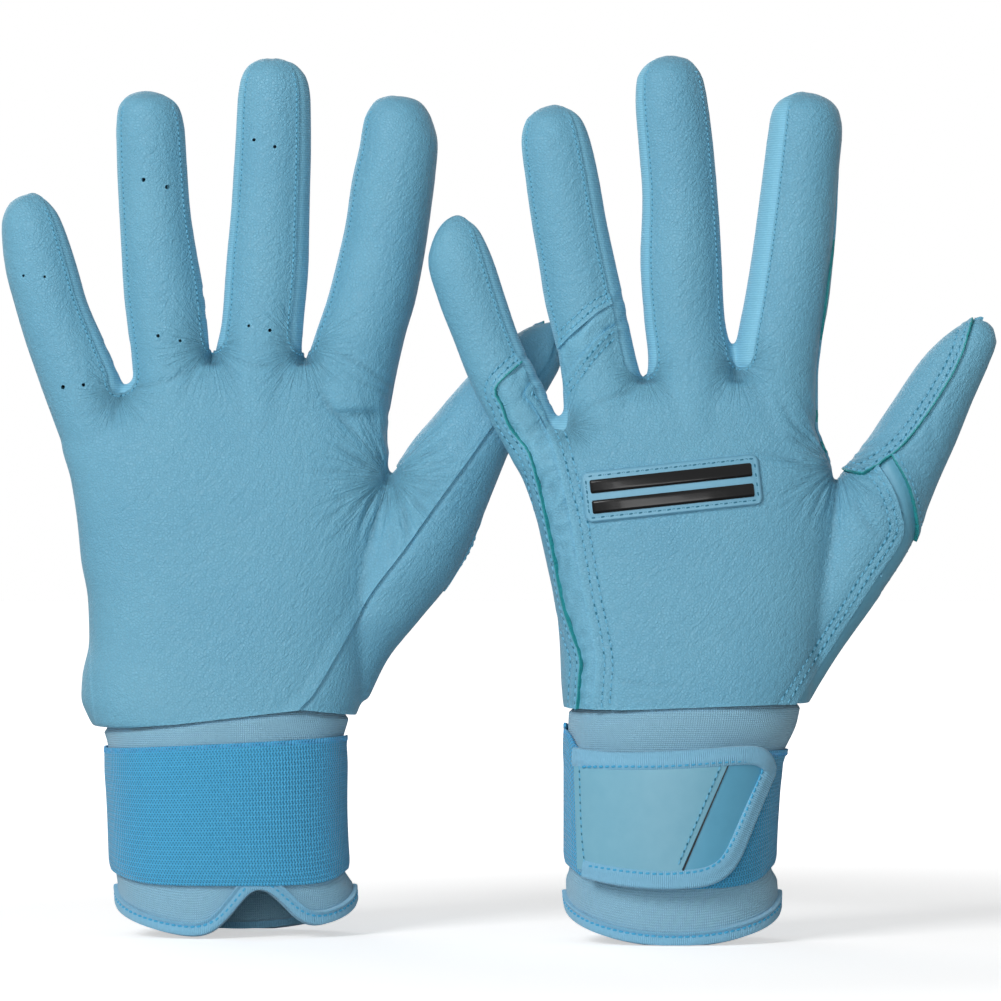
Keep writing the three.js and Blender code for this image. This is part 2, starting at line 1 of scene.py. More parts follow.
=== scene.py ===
# %% [markdown]
# # A pair of leather batting gloves
# Two filled gloves stand on their cuffs. The left one shows the back of its hand and the right
# one its palm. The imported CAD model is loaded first, as a frame that nothing here may move, and
# every sewn piece is then modelled over its CAD node, with its seams, stitches and finish.

# %% The frame
import json
import math

import bmesh
import bpy
import numpy as np
from mathutils import Vector, noise
from mathutils.bvhtree import BVHTree
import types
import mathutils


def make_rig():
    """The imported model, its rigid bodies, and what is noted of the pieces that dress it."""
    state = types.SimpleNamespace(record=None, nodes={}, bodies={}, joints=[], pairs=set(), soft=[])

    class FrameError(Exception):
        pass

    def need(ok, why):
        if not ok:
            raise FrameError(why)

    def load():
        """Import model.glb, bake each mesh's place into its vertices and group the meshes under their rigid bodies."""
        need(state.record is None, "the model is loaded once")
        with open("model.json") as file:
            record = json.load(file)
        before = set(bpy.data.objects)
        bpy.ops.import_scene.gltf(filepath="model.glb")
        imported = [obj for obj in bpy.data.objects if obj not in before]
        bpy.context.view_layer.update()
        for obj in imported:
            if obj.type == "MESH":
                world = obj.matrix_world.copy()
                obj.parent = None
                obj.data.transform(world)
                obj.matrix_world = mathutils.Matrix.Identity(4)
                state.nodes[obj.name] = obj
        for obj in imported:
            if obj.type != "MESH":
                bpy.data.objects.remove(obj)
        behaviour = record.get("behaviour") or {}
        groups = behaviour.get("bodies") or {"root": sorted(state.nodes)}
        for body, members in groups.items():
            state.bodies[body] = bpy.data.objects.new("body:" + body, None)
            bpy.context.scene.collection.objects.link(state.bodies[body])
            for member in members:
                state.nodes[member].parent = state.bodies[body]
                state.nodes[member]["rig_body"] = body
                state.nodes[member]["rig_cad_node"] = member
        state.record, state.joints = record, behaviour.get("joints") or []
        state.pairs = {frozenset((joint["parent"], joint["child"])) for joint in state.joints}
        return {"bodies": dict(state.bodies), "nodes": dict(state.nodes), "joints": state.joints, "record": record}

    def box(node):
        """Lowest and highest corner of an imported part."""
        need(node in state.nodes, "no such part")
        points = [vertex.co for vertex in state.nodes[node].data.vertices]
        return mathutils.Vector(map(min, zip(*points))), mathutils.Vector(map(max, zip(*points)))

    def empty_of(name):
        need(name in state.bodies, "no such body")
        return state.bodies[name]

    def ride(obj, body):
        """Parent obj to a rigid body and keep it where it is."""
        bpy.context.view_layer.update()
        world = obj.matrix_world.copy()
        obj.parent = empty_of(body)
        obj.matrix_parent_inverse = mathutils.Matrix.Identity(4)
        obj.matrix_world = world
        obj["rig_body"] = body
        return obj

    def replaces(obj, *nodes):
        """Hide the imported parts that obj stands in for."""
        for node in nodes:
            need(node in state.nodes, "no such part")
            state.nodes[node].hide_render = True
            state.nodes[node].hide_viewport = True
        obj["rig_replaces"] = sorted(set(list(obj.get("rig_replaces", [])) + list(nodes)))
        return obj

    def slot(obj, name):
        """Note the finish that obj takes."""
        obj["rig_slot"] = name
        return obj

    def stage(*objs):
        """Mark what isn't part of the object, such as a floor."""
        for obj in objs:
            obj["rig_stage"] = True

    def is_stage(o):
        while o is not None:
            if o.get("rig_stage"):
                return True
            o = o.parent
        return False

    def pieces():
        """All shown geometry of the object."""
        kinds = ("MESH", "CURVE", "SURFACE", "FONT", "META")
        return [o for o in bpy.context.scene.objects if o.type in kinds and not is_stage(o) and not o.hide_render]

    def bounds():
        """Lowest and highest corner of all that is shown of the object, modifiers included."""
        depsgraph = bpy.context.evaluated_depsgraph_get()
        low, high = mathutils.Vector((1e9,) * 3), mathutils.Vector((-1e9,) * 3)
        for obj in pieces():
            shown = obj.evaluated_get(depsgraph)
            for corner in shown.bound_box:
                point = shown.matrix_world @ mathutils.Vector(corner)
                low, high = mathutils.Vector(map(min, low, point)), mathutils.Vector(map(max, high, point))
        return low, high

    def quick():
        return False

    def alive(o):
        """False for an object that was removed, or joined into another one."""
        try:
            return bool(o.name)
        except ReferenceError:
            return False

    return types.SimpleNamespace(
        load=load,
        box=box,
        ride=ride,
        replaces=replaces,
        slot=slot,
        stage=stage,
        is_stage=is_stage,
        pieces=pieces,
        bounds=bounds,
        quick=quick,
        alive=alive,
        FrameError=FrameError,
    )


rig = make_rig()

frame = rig.load()
bpy.context.view_layer.update()
cad_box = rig.bounds()
print("CAD box", [[round(v, 4) for v in corner] for corner in cad_box])

# %% [markdown]
# Places are read from the photograph as pixels of its 1001 by 1001 frame, and a hand of 188 mm
# gives the size of one pixel. The right glove stands a little behind the left one, so its pixels
# are worth slightly more. The height of the view's middle comes from the wrist of the CAD model.

# %% From pixels to metres
MM = 0.001
MIDDLE_PX = 500.5
HAND_LENGTH = 188 * MM
HAND_PX = 659
VIEW_DISTANCE = 1.8
MIDDLE_X = 1.507 * MM
WRIST_PX = 716
SEAM_GAP = 0.3 * MM


def middle_depth(hand):
    near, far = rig.box(hand + "_cuff_sleeve")
    return (near.y + far.y) / 2


DEPTH = {hand: middle_depth(hand) for hand in ("left", "right")}
UNIT = {hand: HAND_LENGTH / HAND_PX * (1 + (DEPTH[hand] - DEPTH["left"]) / VIEW_DISTANCE)
        for hand in ("left", "right")}
MIDDLE_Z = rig.box("left_cuff_sleeve")[1].z + SEAM_GAP + (WRIST_PX - MIDDLE_PX) * UNIT["left"]
print("one pixel in mm", {hand: round(unit / MM, 4) for hand, unit in UNIT.items()})


def across(hand, px):
    return (px - MIDDLE_PX) * UNIT[hand] + MIDDLE_X


def height(hand, px):
    return (MIDDLE_PX - px) * UNIT[hand] + MIDDLE_Z


def place(hand, point):
    return across(hand, point[0]), height(hand, point[1])


# %% [markdown]
# A finger is a stack of level ovals. Each row of a table gives a height in the photograph and the
# left and right edge of the finger there, and a smooth curve runs through the rows. The palm also
# has a half depth in millimetres, because a hand is flat across and a finger is nearly round.

# %% The shape of both hands
FINGER_ROWS = {
    "left": {
        "pinky": [[215, 455, 457], [220, 446, 467], [228, 439, 477], [240, 433, 484], [260, 428, 493],
                  [300, 438, 507], [340, 453, 521], [380, 469, 541], [420, 490, 558], [460, 512, 580]],
        "ring": [[106, 552, 558], [110, 539, 571], [120, 526, 582], [140, 521, 590], [180, 525, 599],
                 [220, 531, 606], [260, 538, 615], [300, 544, 624], [340, 554, 632], [375, 561, 641],
                 [440, 566, 668]],
        "middle": [[56, 666, 674], [60, 652, 689], [68, 642, 698], [80, 636, 704], [100, 635, 708],
                   [140, 638, 713], [200, 642, 718], [260, 640, 722], [320, 644, 725], [360, 648, 734],
                   [430, 640, 748]],
        "index": [[92, 799, 811], [96, 786, 823], [102, 777, 833], [112, 771, 840], [130, 768, 843],
                  [180, 762, 838], [240, 754, 834], [300, 744, 829], [340, 737, 822], [380, 733, 818],
                  [440, 730, 818]],
        "thumb": [[318, 974, 982], [323, 963, 990], [330, 952, 995], [342, 938, 997], [360, 921, 991],
                  [400, 893, 974], [440, 867, 958], [480, 838, 940], [540, 815, 915], [600, 780, 877],
                  [660, 752, 835], [704, 745, 808]],
    },
    "right": {
        "pinky": [[193, 28, 34], [197, 18, 43], [203, 10, 50], [212, 5, 57], [225, 2, 63], [245, 3, 70],
                  [270, 6, 78], [300, 13, 87], [340, 24, 104], [380, 38, 121], [420, 53, 136],
                  [460, 68, 150]],
        "ring": [[92, 142, 149], [96, 129, 164], [102, 121, 175], [112, 117, 181], [130, 116, 185],
                 [170, 117, 188], [210, 119, 191], [250, 121, 197], [290, 123, 204], [330, 128, 208],
                 [360, 132, 211], [420, 135, 230]],
        "middle": [[59, 266, 278], [62, 253, 292], [69, 245, 301], [80, 240, 308], [100, 237, 311],
                   [150, 235, 311], [200, 232, 310], [260, 226, 309], [320, 222, 304], [355, 215, 302],
                   [420, 208, 310]],
        "index": [[96, 391, 403], [100, 377, 417], [107, 370, 425], [120, 364, 432], [145, 360, 438],
                  [180, 352, 435], [220, 346, 430], [260, 337, 424], [300, 327, 416], [335, 315, 405],
                  [365, 306, 398], [410, 300, 390]],
        "thumb": [[322, 541, 551], [326, 529, 556], [333, 517, 559], [345, 500, 562], [360, 484, 562],
                  [385, 460, 551], [420, 430, 529], [450, 407, 511], [480, 390, 498], [540, 350, 473],
                  [580, 330, 452], [620, 312, 420], [660, 300, 388], [700, 292, 368]],
    },
}
PALM_ROWS = {
    "left": [[716, 566, 800, 22], [700, 563, 809, 22], [680, 561, 814, 21.6], [640, 559, 822, 20],
             [600, 555, 829, 19], [560, 547, 833, 18], [520, 537, 836, 17.2], [480, 523, 833, 16],
             [450, 509, 826, 14], [430, 540, 818, 12.8], [405, 575, 814, 11.5], [384, 598, 802, 9]],
    "right": [[728, 95, 347, 22], [714, 87, 356, 22], [698, 81, 362, 21.6], [676, 82, 366, 21],
              [640, 89, 370, 20], [600, 88, 376, 19], [560, 81, 382, 18], [520, 77, 386, 17.2],
              [480, 71, 388, 16], [440, 61, 387, 13.6], [415, 90, 388, 12], [392, 118, 391, 11],
              [366, 150, 394, 9]],
}
FINGER_DEPTH = 0.86
THUMB_DEPTH = 0.8
PALM_SQUARENESS = 2.5
RING_STEP = 1.6 * MM
# How far the first rings lie below a fingertip, and where the even rings begin
TIP_STEPS_PX = np.array([0, 0.5, 1.2, 2.2, 3.5, 5, 7, 9.5, 13, 17, 21])
BELOW_TIP_PX = 25
OVAL_SIDES = 56


def smooth_rows(rows, heights):
    """The rows' columns at the given heights, on a monotone cubic through the table."""
    table = np.array(sorted(rows, key=lambda row: row[0]), float)
    y, columns = table[:, 0], table[:, 1:]
    slope = np.diff(columns, axis=0) / np.diff(y)[:, None]
    tangent = np.zeros_like(columns)
    tangent[1:-1] = np.where(slope[1:] * slope[:-1] > 0,
                             2 * slope[1:] * slope[:-1] / (slope[1:] + slope[:-1] + 1e-12), 0)
    tangent[0], tangent[-1] = slope[0], slope[-1]
    k = np.clip(np.searchsorted(y, heights) - 1, 0, len(y) - 2)
    span = (y[k + 1] - y[k])[:, None]
    t = ((heights - y[k]) / (y[k + 1] - y[k]))[:, None]
    return ((2 * t ** 3 - 3 * t ** 2 + 1) * columns[k] + (t ** 3 - 2 * t ** 2 + t) * span * tangent[k]
            + (3 * t ** 2 - 2 * t ** 3) * columns[k + 1] + (t ** 3 - t ** 2) * span * tangent[k + 1])


def row_heights(rows, unit):
    """Close rows where a tip rounds off, wider ones along the rest."""
    first, last = min(row[0] for row in rows), max(row[0] for row in rows)
    rest = np.arange(first + BELOW_TIP_PX, last, RING_STEP / unit)
    return np.concatenate([first + TIP_STEPS_PX, rest, [last]])


def stack_of_ovals(hand, rings, squareness):
    """A closed skin over ovals given as left edge, right edge, half depth and height, in metres."""
    turn = 2 * math.pi * np.arange(OVAL_SIDES) / OVAL_SIDES
    u = np.sign(np.cos(turn)) * np.abs(np.cos(turn)) ** (2 / squareness)
    v = np.sign(np.sin(turn)) * np.abs(np.sin(turn)) ** (2 / squareness)
    mesh = bmesh.new()
    loops = []
    for left, right, depth, z in rings:
        centre, half = (left + right) / 2, (right - left) / 2
        loops.append([mesh.verts.new((centre + half * a, DEPTH[hand] + depth * b, z)) for a, b in zip(u, v)])
    for low, high in zip(loops, loops[1:]):
        for k in range(OVAL_SIDES):
            j = (k + 1) % OVAL_SIDES
            mesh.faces.new((low[k], low[j], high[j], high[k]))
    mesh.faces.new(loops[0])
    mesh.faces.new(loops[-1])
    bmesh.ops.recalc_face_normals(mesh, faces=mesh.faces)
    return mesh


def add_object(name, mesh):
    data = bpy.data.meshes.new(name)
    mesh.to_mesh(data)
    mesh.free()
    piece = bpy.data.objects.new(name, data)
    bpy.context.scene.collection.objects.link(piece)
    return piece


def pick(*pieces):
    bpy.ops.object.select_all(action="DESELECT")
    for piece in pieces:
        piece.select_set(True)
    bpy.context.view_layer.objects.active = pieces[0]


def apply_modifier(piece, kind, **settings):
    modifier = piece.modifiers.new(kind.title(), kind)
    for key, value in settings.items():
        setattr(modifier, key, value)
    pick(piece)
    bpy.ops.object.modifier_apply(modifier=modifier.name)


def hand_parts(hand):
    """The palm and the five fingers as separate closed skins."""
    unit = UNIT[hand]
    parts = []
    for finger, rows in FINGER_ROWS[hand].items():
        heights = row_heights(rows, unit)
        edges = smooth_rows(rows, heights)
        middle = edges.mean(axis=1)
        lean = np.gradient(middle, heights)
        upright = 1 / np.sqrt(1 + lean ** 2)
        share = THUMB_DEPTH if finger == "thumb" else FINGER_DEPTH
        rings = [(across(hand, a), across(hand, b), (b - a) / 2 * unit * share * c, height(hand, y))
                 for (a, b), c, y in zip(edges, upright, heights)]
        parts.append(add_object(f"{hand}_{finger}_form", stack_of_ovals(hand, rings, 2)))
    rows = PALM_ROWS[hand]
    heights = np.arange(min(r[0] for r in rows), max(r[0] for r in rows), RING_STEP / unit)
    rings = [(across(hand, a), across(hand, b), d * MM, height(hand, y))
             for (a, b, d), y in zip(smooth_rows(rows, heights), heights)]
    parts.append(add_object(f"{hand}_palm_form", stack_of_ovals(hand, rings, PALM_SQUARENESS)))
    return parts


# %% [markdown]
# The separate skins overlap. A voxel remesh melts them into one closed hand, as wet clay would,
# and a few rounds of smoothing turn the hard valleys between the fingers into soft webs.

# %% One skin for each hand
VOXEL = 1.3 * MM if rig.quick() else 0.9 * MM
SMOOTH_ROUNDS = 5 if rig.quick() else 9


def one_hand(hand):
    parts = hand_parts(hand)
    pick(*parts)
    bpy.ops.object.join()
    skin = bpy.context.view_layer.objects.active
    skin.name = f"{hand}_hand_form"
    apply_modifier(skin, "REMESH", mode="VOXEL", voxel_size=VOXEL)
    apply_modifier(skin, "SMOOTH", factor=0.5, iterations=SMOOTH_ROUNDS)
    return skin


hands = {hand: one_hand(hand) for hand in ("left", "right")}
for hand, skin in hands.items():
    print(hand, "hand", len(skin.data.polygons), "faces")

# %% [markdown]
# The gloves are cut from flat leather, so the skin is divided along the real seams. Each seam is a
# line in the plane of the view, read on one glove and carried over to the other by a small shift.
# A finger's strip lies between two lines that keep a fixed share of the finger's half width.

# %% The seams of the back and of the palm
RIGHT_SHIFT_PX = 400
RIGHT_SHEAR = 0.085
BACK_SEAMS = {
    "pinky": [[540, 340], [523, 361], [497, 387], [503, 405], [510, 425], [521, 440], [531, 455],
              [540, 486], [548, 520], [556, 560], [563, 600], [573, 633], [581, 657], [580, 682], [577, 740]],
    "insert": [[548, 366], [525, 391], [533, 406], [542, 422], [553, 446], [563, 486], [571, 520],
               [578, 560], [585, 600], [592, 633], [596, 660], [594, 690], [591, 740]],
    "ring_upper": [[551, 362], [559, 350], [570, 337], [583, 325], [597, 313], [611, 304], [634, 289]],
    "ring_lower": [[551, 400], [560, 386], [571, 372], [582, 357], [595, 342], [607, 331], [618, 324],
                   [640, 309]],
    "thumb": [[877, 466], [890, 488], [898, 512], [899, 538], [872, 580], [845, 622], [818, 663], [793, 700],
              [776, 725]],
    "gusset": [[889, 455], [904, 483], [913, 512], [915, 538], [902, 566], [884, 590]],
    "overlay": [[837, 467], [848, 473], [862, 475], [878, 465], [897, 450], [912, 433], [926, 414],
                [940, 393], [952, 373], [962, 352], [969, 331], [976, 312], [990, 280]],
    "index_side": [[812, 60], [846, 130], [842, 180], [829, 280], [823, 330], [819, 380], [818, 420],
                   [824, 448], [837, 467]],
}
PALM_SEAM = [[284, 750], [300, 709], [314, 693], [339, 651], [370, 596], [406, 548], [446, 491], [470, 458],
             [493, 425], [514, 398], [534, 378], [543, 368], [551, 350], [555, 325], [560, 290]]
PALM_SIDE_SEAM = [[60, 470], [84, 560], [91, 640], [93, 680], [97, 713], [108, 760]]
CROTCH = {
    "left": {"pinky": [563, 428], "ring": [645, 374.5], "middle": [741.5, 365]},
    "right": {"pinky": [119, 391], "ring": [214, 348], "middle": [304, 350]},
}
# Shares of a finger's half width where its strips begin, left and right, seen by the camera
STRIP_SHARE = {
    "left": {"pinky": (-1, 0.66), "ring": (-0.9, 0.62), "middle": (-0.79, 0.9), "index": (-0.58, 1)},
    "right": {"pinky": (-1, 0.72), "ring": (-0.87, 0.88), "middle": (-0.82, 0.69), "index": (-0.92, 1)},
}
HIDDEN_STRIP_SHARE = 0.84
WEB_DROP, WEB_START = 4, 16
ABOVE_TIPS_PX = -60
# A strip's line has close points at the fingertip and then one at each even step
STRIP_TIP_STEPS_PX, STRIP_STEP_PX = [0, 1.5, 4, 8, 14, 22], 12
WEB_TURNS = (0.4, 0.8, 1.15)
HEM_LINE = {"left": [[540, 703], [568, 707], [620, 708], [700, 705], [760, 703], [840, 701]],
            "right": [[60, 724], [105, 727], [179, 722], [302, 708], [306, 708], [355, 714], [400, 716]]}
FINGERS = ("pinky", "ring", "middle", "index")
BACK = {"left": -1, "right": 1}
SEAM_STEP_PX = 6
CURVE_STEPS = 24
SMOOTH_SEAMS = ("pinky", "insert", "ring_upper", "ring_lower", "thumb", "gusset")


def smooth_path(points, step):
    """Even steps along a smooth curve through the points."""
    table = np.asarray(points, float)
    padded = np.vstack([2 * table[0] - table[1], table, 2 * table[-1] - table[-2]])
    dense = []
    for k in range(1, len(padded) - 2):
        a, b, c, d = padded[k - 1:k + 3]
        for t in np.linspace(0, 1, CURVE_STEPS, endpoint=False):
            dense.append(0.5 * (2 * b + (c - a) * t + (2 * a - 5 * b + 4 * c - d) * t * t
                                + (3 * b - a - 3 * c + d) * t ** 3))
    dense = np.array(dense + [table[-1]])
    length = np.append(0, np.cumsum(np.linalg.norm(np.diff(dense, axis=0), axis=1)))
    at = np.linspace(0, length[-1], max(2, int(length[-1] / step) + 1))
    return np.stack([np.interp(at, length, dense[:, k]) for k in range(dense.shape[1])], axis=1)


for name in SMOOTH_SEAMS:
    BACK_SEAMS[name] = smooth_path(BACK_SEAMS[name], SEAM_STEP_PX).tolist()
PALM_SEAM = smooth_path(PALM_SEAM, SEAM_STEP_PX).tolist()


def shift(y):
    return RIGHT_SHIFT_PX + RIGHT_SHEAR * y


def seam_on(hand, points, read_on):
    """A seam's pixels on this glove, whichever glove it was read on."""
    if hand == read_on:
        return [list(p) for p in points]
    sign = 1 if hand == "left" else -1
    return [[x + sign * shift(y), y] for x, y in points]


def strip_line(hand, finger, share, down_to):
    """A line down one finger at a share of its half width, from its tip to a height."""
    rows = FINGER_ROWS[hand][finger]
    top = min(row[0] for row in rows)
    steps = np.arange(STRIP_TIP_STEPS_PX[-1] + STRIP_STEP_PX, down_to - top, STRIP_STEP_PX)
    heights = np.append(top + np.append(STRIP_TIP_STEPS_PX, steps), down_to)
    edges = smooth_rows(rows, heights)
    middle, half = edges.mean(axis=1), (edges[:, 1] - edges[:, 0]) / 2
    return [[x, y] for x, y in zip(middle + share * half, heights)]


def web_lines(hand, finger, seen):
    """The two lines that bound the strip between a finger and its neighbour on the right."""
    neighbour = FINGERS[FINGERS.index(finger) + 1]
    x, y = CROTCH[hand][finger]
    right = STRIP_SHARE[hand][finger][1] if seen else HIDDEN_STRIP_SHARE
    left = STRIP_SHARE[hand][neighbour][0] if seen else -HIDDEN_STRIP_SHARE
    lines = []
    for owner, share in ((finger, right), (neighbour, left)):
        line = strip_line(hand, owner, share, y - WEB_START)
        end_x, end_y = line[-1]
        turned = [[x + (end_x - x) * math.cos(a), end_y + (y + WEB_DROP - end_y) * math.sin(a)]
                  for a in WEB_TURNS]
        lines.append(line + turned + [[x, y + WEB_DROP]])
    return lines


def web_area(hand, finger, seen):
    first, second = web_lines(hand, finger, seen)
    return [[first[0][0], ABOVE_TIPS_PX]] + first + second[-2::-1] + [[second[0][0], ABOVE_TIPS_PX]]


def web_cuts(hand, seen):
    return [(f"fourchette_{a}_{b}", web_area(hand, a, seen)) for a, b in zip(FINGERS, FINGERS[1:])]


def back_cuts(hand, seen):
    """The back's pieces in the order in which they are cut away."""
    line = {name: seam_on(hand, points, "left") for name, points in BACK_SEAMS.items()}

    def far(points):
        return seam_on(hand, points, "left")

    return web_cuts(hand, seen) + [
        ("pinky_back", line["pinky"] + far([[380, 740], [380, 60], [512, 60], [512, 250]])),
        ("side_flex_insert", line["pinky"][::-1] + line["insert"]),
        ("ring_back", line["ring_upper"] + far([[630, 250], [622, 20], [505, 20], [505, 250], [540, 340]])),
        ("ring_flex_insert", line["ring_upper"] + line["ring_lower"][::-1]),
        ("thumb_overlay", line["overlay"] + far([[930, 250], [860, 300], [850, 400], [840, 440]])),
        ("palm_leather", line["index_side"]
         + far([[850, 470], [860, 400], [880, 200], [880, 20], [812, 20]])),
        ("thumb_gusset", line["thumb"][:-1] + far([[820, 730], [980, 730], [980, 600], [884, 590]])
         + line["gusset"][-2::-1]),
        ("thumb_back", line["overlay"][3:] + far([[1100, 280], [1100, 760], [800, 760], [776, 725]])
         + line["thumb"][::-1]),
    ]


def palm_cuts(hand, seen):
    """The palm's pieces in the order in which they are cut away."""
    outlines = {"thumb_palm": PALM_SEAM + [[760, 290], [760, 770]],
                "pinky_back": PALM_SIDE_SEAM + [[0, 760], [0, 480]]}
    return web_cuts(hand, seen) + [(name, seam_on(hand, outline, "right"))
                                   for name, outline in outlines.items()]


# %% [markdown]
# Each piece is the part of the hand's skin inside a prism over its outline. The Boolean modifier
# keeps that part exactly to the seam, and the faces that the prism leaves are thrown away, because
# leather is a sheet and has no core.

# %% Cutting the skin into pieces
FAR = 0.4
# The material slot of the faces that a cutter leaves
CUT = 1
MERGE_WITHIN = 0.02 * MM


def prism(outline, low, high):
    """A closed prism over an outline in the view's plane, between two depths."""
    mesh = bmesh.new()
    near = [mesh.verts.new((x, low, z)) for x, z in outline]
    back = [mesh.verts.new((x, high, z)) for x, z in outline]
    mesh.faces.new(near)
    mesh.faces.new(back[::-1])
    for k in range(len(outline)):
        j = (k + 1) % len(outline)
        mesh.faces.new((near[j], near[k], back[k], back[j]))
    bmesh.ops.recalc_face_normals(mesh, faces=mesh.faces)
    bmesh.ops.triangulate(mesh, faces=mesh.faces)
    for face in mesh.faces:
        face.material_index = CUT
    return add_object("cutter", mesh)


def copy_of(piece, name):
    other = piece.copy()
    other.data = piece.data.copy()
    other.name = name
    bpy.context.scene.collection.objects.link(other)
    return other


def boolean(piece, cutter, operation):
    apply_modifier(piece, "BOOLEAN", operation=operation, solver="MANIFOLD", object=cutter,
                   material_mode="INDEX")


def remove(*pieces):
    for piece in pieces:
        bpy.data.objects.remove(piece)


def hem_outline(hand):
    line = [place(hand, p) for p in HEM_LINE[hand]]
    return [(-FAR, line[0][1])] + line + [(FAR, line[-1][1]), (FAR, FAR), (-FAR, FAR)]


def skin_only(piece):
    mesh = bmesh.new()
    mesh.from_mesh(piece.data)
    bmesh.ops.delete(mesh, geom=[f for f in mesh.faces if f.material_index == CUT], context="FACES")
    mesh.to_mesh(piece.data)
    mesh.free()
    return piece


VENTS = [[25.3, 276.6], [46.7, 277.7], [65, 387.7], [85.7, 385.4], [145.1, 181.2], [168.5, 188.4],
         [159.8, 336.6], [181.8, 341.5], [255.1, 141.4], [275.9, 148.5], [250.1, 326.8], [271, 331.4]]
VENT_RADIUS = 0.55 * MM
VENT_SIDES = 10
# How far the round end of a strip reaches under the leather
STRIP_LAP_PX = 4


def vent_punch(hand):
    """Round punches through the fronts of the fingers, down to the middle of the hand, in one cutter."""
    turn = 2 * math.pi * np.arange(VENT_SIDES) / VENT_SIDES
    depths = (DEPTH[hand], FAR) if BACK[hand] < 0 else (-FAR, DEPTH[hand])
    punches = []
    for x, z in [place(hand, p) for p in seam_on(hand, VENTS, "right")]:
        circle = [(x + VENT_RADIUS * math.cos(a), z + VENT_RADIUS * math.sin(a)) for a in turn]
        punches.append(prism(circle, *depths))
    pick(*punches)
    bpy.ops.object.join()
    return punches[0]


def cut_hand(hand):
    """All sewn pieces of one glove as open skins, by name."""
    hem = prism(hem_outline(hand), -FAR, FAR)
    whole = hands[hand]
    for material in ("skin_of_" + hand, "cut_of_" + hand):
        whole.data.materials.append(bpy.data.materials.new(material))
    boolean(whole, hem, "INTERSECT")
    punch = vent_punch(hand)
    boolean(whole, punch, "DIFFERENCE")
    remove(hem, punch)
    scraps = {}
    for side in (-1, 1):
        depths = (DEPTH[hand], FAR) if side > 0 else (-FAR, DEPTH[hand])
        rest = copy_of(whole, f"{hand}_rest")
        half = prism([(-FAR, -FAR), (FAR, -FAR), (FAR, FAR), (-FAR, FAR)], *depths)
        boolean(rest, half, "INTERSECT")
        remove(half)
        is_back = side == BACK[hand]
        cuts = (back_cuts if is_back else palm_cuts)(hand, side < 0)
        for name, outline in cuts:
            lap = STRIP_LAP_PX if name.startswith("fourchette") else 0
            end = max(y for _, y in outline) - WEB_START
            cutter = prism([place(hand, p) for p in outline], *depths)
            lapped = prism([place(hand, (x, y + lap if y > end else y)) for x, y in outline], *depths)
            part = copy_of(rest, f"{hand}_{name}_scrap")
            boolean(part, lapped, "INTERSECT")
            boolean(rest, cutter, "DIFFERENCE")
            remove(cutter, lapped)
            scraps.setdefault(name, []).append(skin_only(part))
        scraps.setdefault("back_leather" if is_back else "palm_leather", []).append(skin_only(rest))
    remove(whole)
    return scraps


def sewn(hand, name, scraps):
    """One piece from its parts, with the seam down its side merged. Empty parts are dropped."""
    remove(*[scrap for scrap in scraps if not scrap.data.polygons])
    scraps = [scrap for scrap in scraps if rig.alive(scrap)]
    pick(*scraps)
    if len(scraps) > 1:
        bpy.ops.object.join()
    piece = bpy.context.view_layer.objects.active
    piece.name = f"{hand}_{name}_skin"
    mesh = bmesh.new()
    mesh.from_mesh(piece.data)
    bmesh.ops.remove_doubles(mesh, verts=mesh.verts, dist=MERGE_WITHIN)
    mesh.to_mesh(piece.data)
    mesh.free()
    piece.data.materials.clear()
    return piece


skins = {}
for hand in hands:
    for name, scraps in cut_hand(hand).items():
        skins[hand, name] = sewn(hand, name, scraps)
print("pieces", {f"{hand}_{name}": len(piece.data.polygons) for (hand, name), piece in skins.items()})

# %% [markdown]
# Leather is sewn with one piece lying over its neighbour. The edge of the upper piece stands up by
# about its own thickness, and the thread pulls the piece beside it down. Both are small moves along
# the skin's normals, by the distance to the seam in the plane of the view.

# %% Raised edges and sunken seams
STRETCH = {"thumb_gusset", "fourchette_pinky_ring", "fourchette_ring_middle", "fourchette_middle_index"}
EDGE_LIFT = 0.8 * MM
EDGE_FADE = 4.5 * MM
SEAM_SINK = 0.45 * MM
SINK_FADE = 1.8 * MM
# A side reaches this far past the hand's middle, so that a seam which ends there has no step
SIDE_SLACK = 0.5 * MM
# Each sewn seam: its line, the glove it was read on, its side, the upper piece and the distances
# of its stitch rows from the edge in millimetres
SEWN_SEAMS = {
    "pinky": (BACK_SEAMS["pinky"], "left", "back", "pinky_back", (1.4, 3.2)),
    "insert": (BACK_SEAMS["insert"], "left", "back", "back_leather", (2.2, 4.4)),
    "ring_upper": (BACK_SEAMS["ring_upper"], "left", "back", "ring_back", (1.4, 3.2)),
    "ring_lower": (BACK_SEAMS["ring_lower"], "left", "back", "back_leather", (1.4, 3.2)),
    "overlay": (BACK_SEAMS["overlay"], "left", "back", "thumb_overlay", (1.4, 3.2)),
    "thumb": (BACK_SEAMS["thumb"], "left", "back", "back_leather", (1.6, 3.6)),
    "gusset": (BACK_SEAMS["gusset"], "left", "back", "thumb_back", (1.6,)),
    "index_side": (BACK_SEAMS["index_side"][2:], "left", "back", "palm_leather", ()),
    "palm": (PALM_SEAM, "right", "palm", "palm_leather", ()),
}
# The palm's edge along the index finger lies flatter than the other edges
EDGE_SHARE = {"index_side": 0.3}


def distance_to_line(points, line):
    line = np.asarray(line)
    nearest = np.full(len(points), np.inf)
    for a, b in zip(line, line[1:]):
        t = np.clip((points - a) @ (b - a) / ((b - a) @ (b - a)), 0, 1)
        nearest = np.minimum(nearest, np.linalg.norm(points - a - t[:, None] * (b - a), axis=1))
    return nearest


def fade(distance, reach):
    """1 on a line and 0 beyond the reach, with no corner between."""
    t = np.clip(distance / reach, 0, 1)
    return 1 - t * t * (3 - 2 * t)


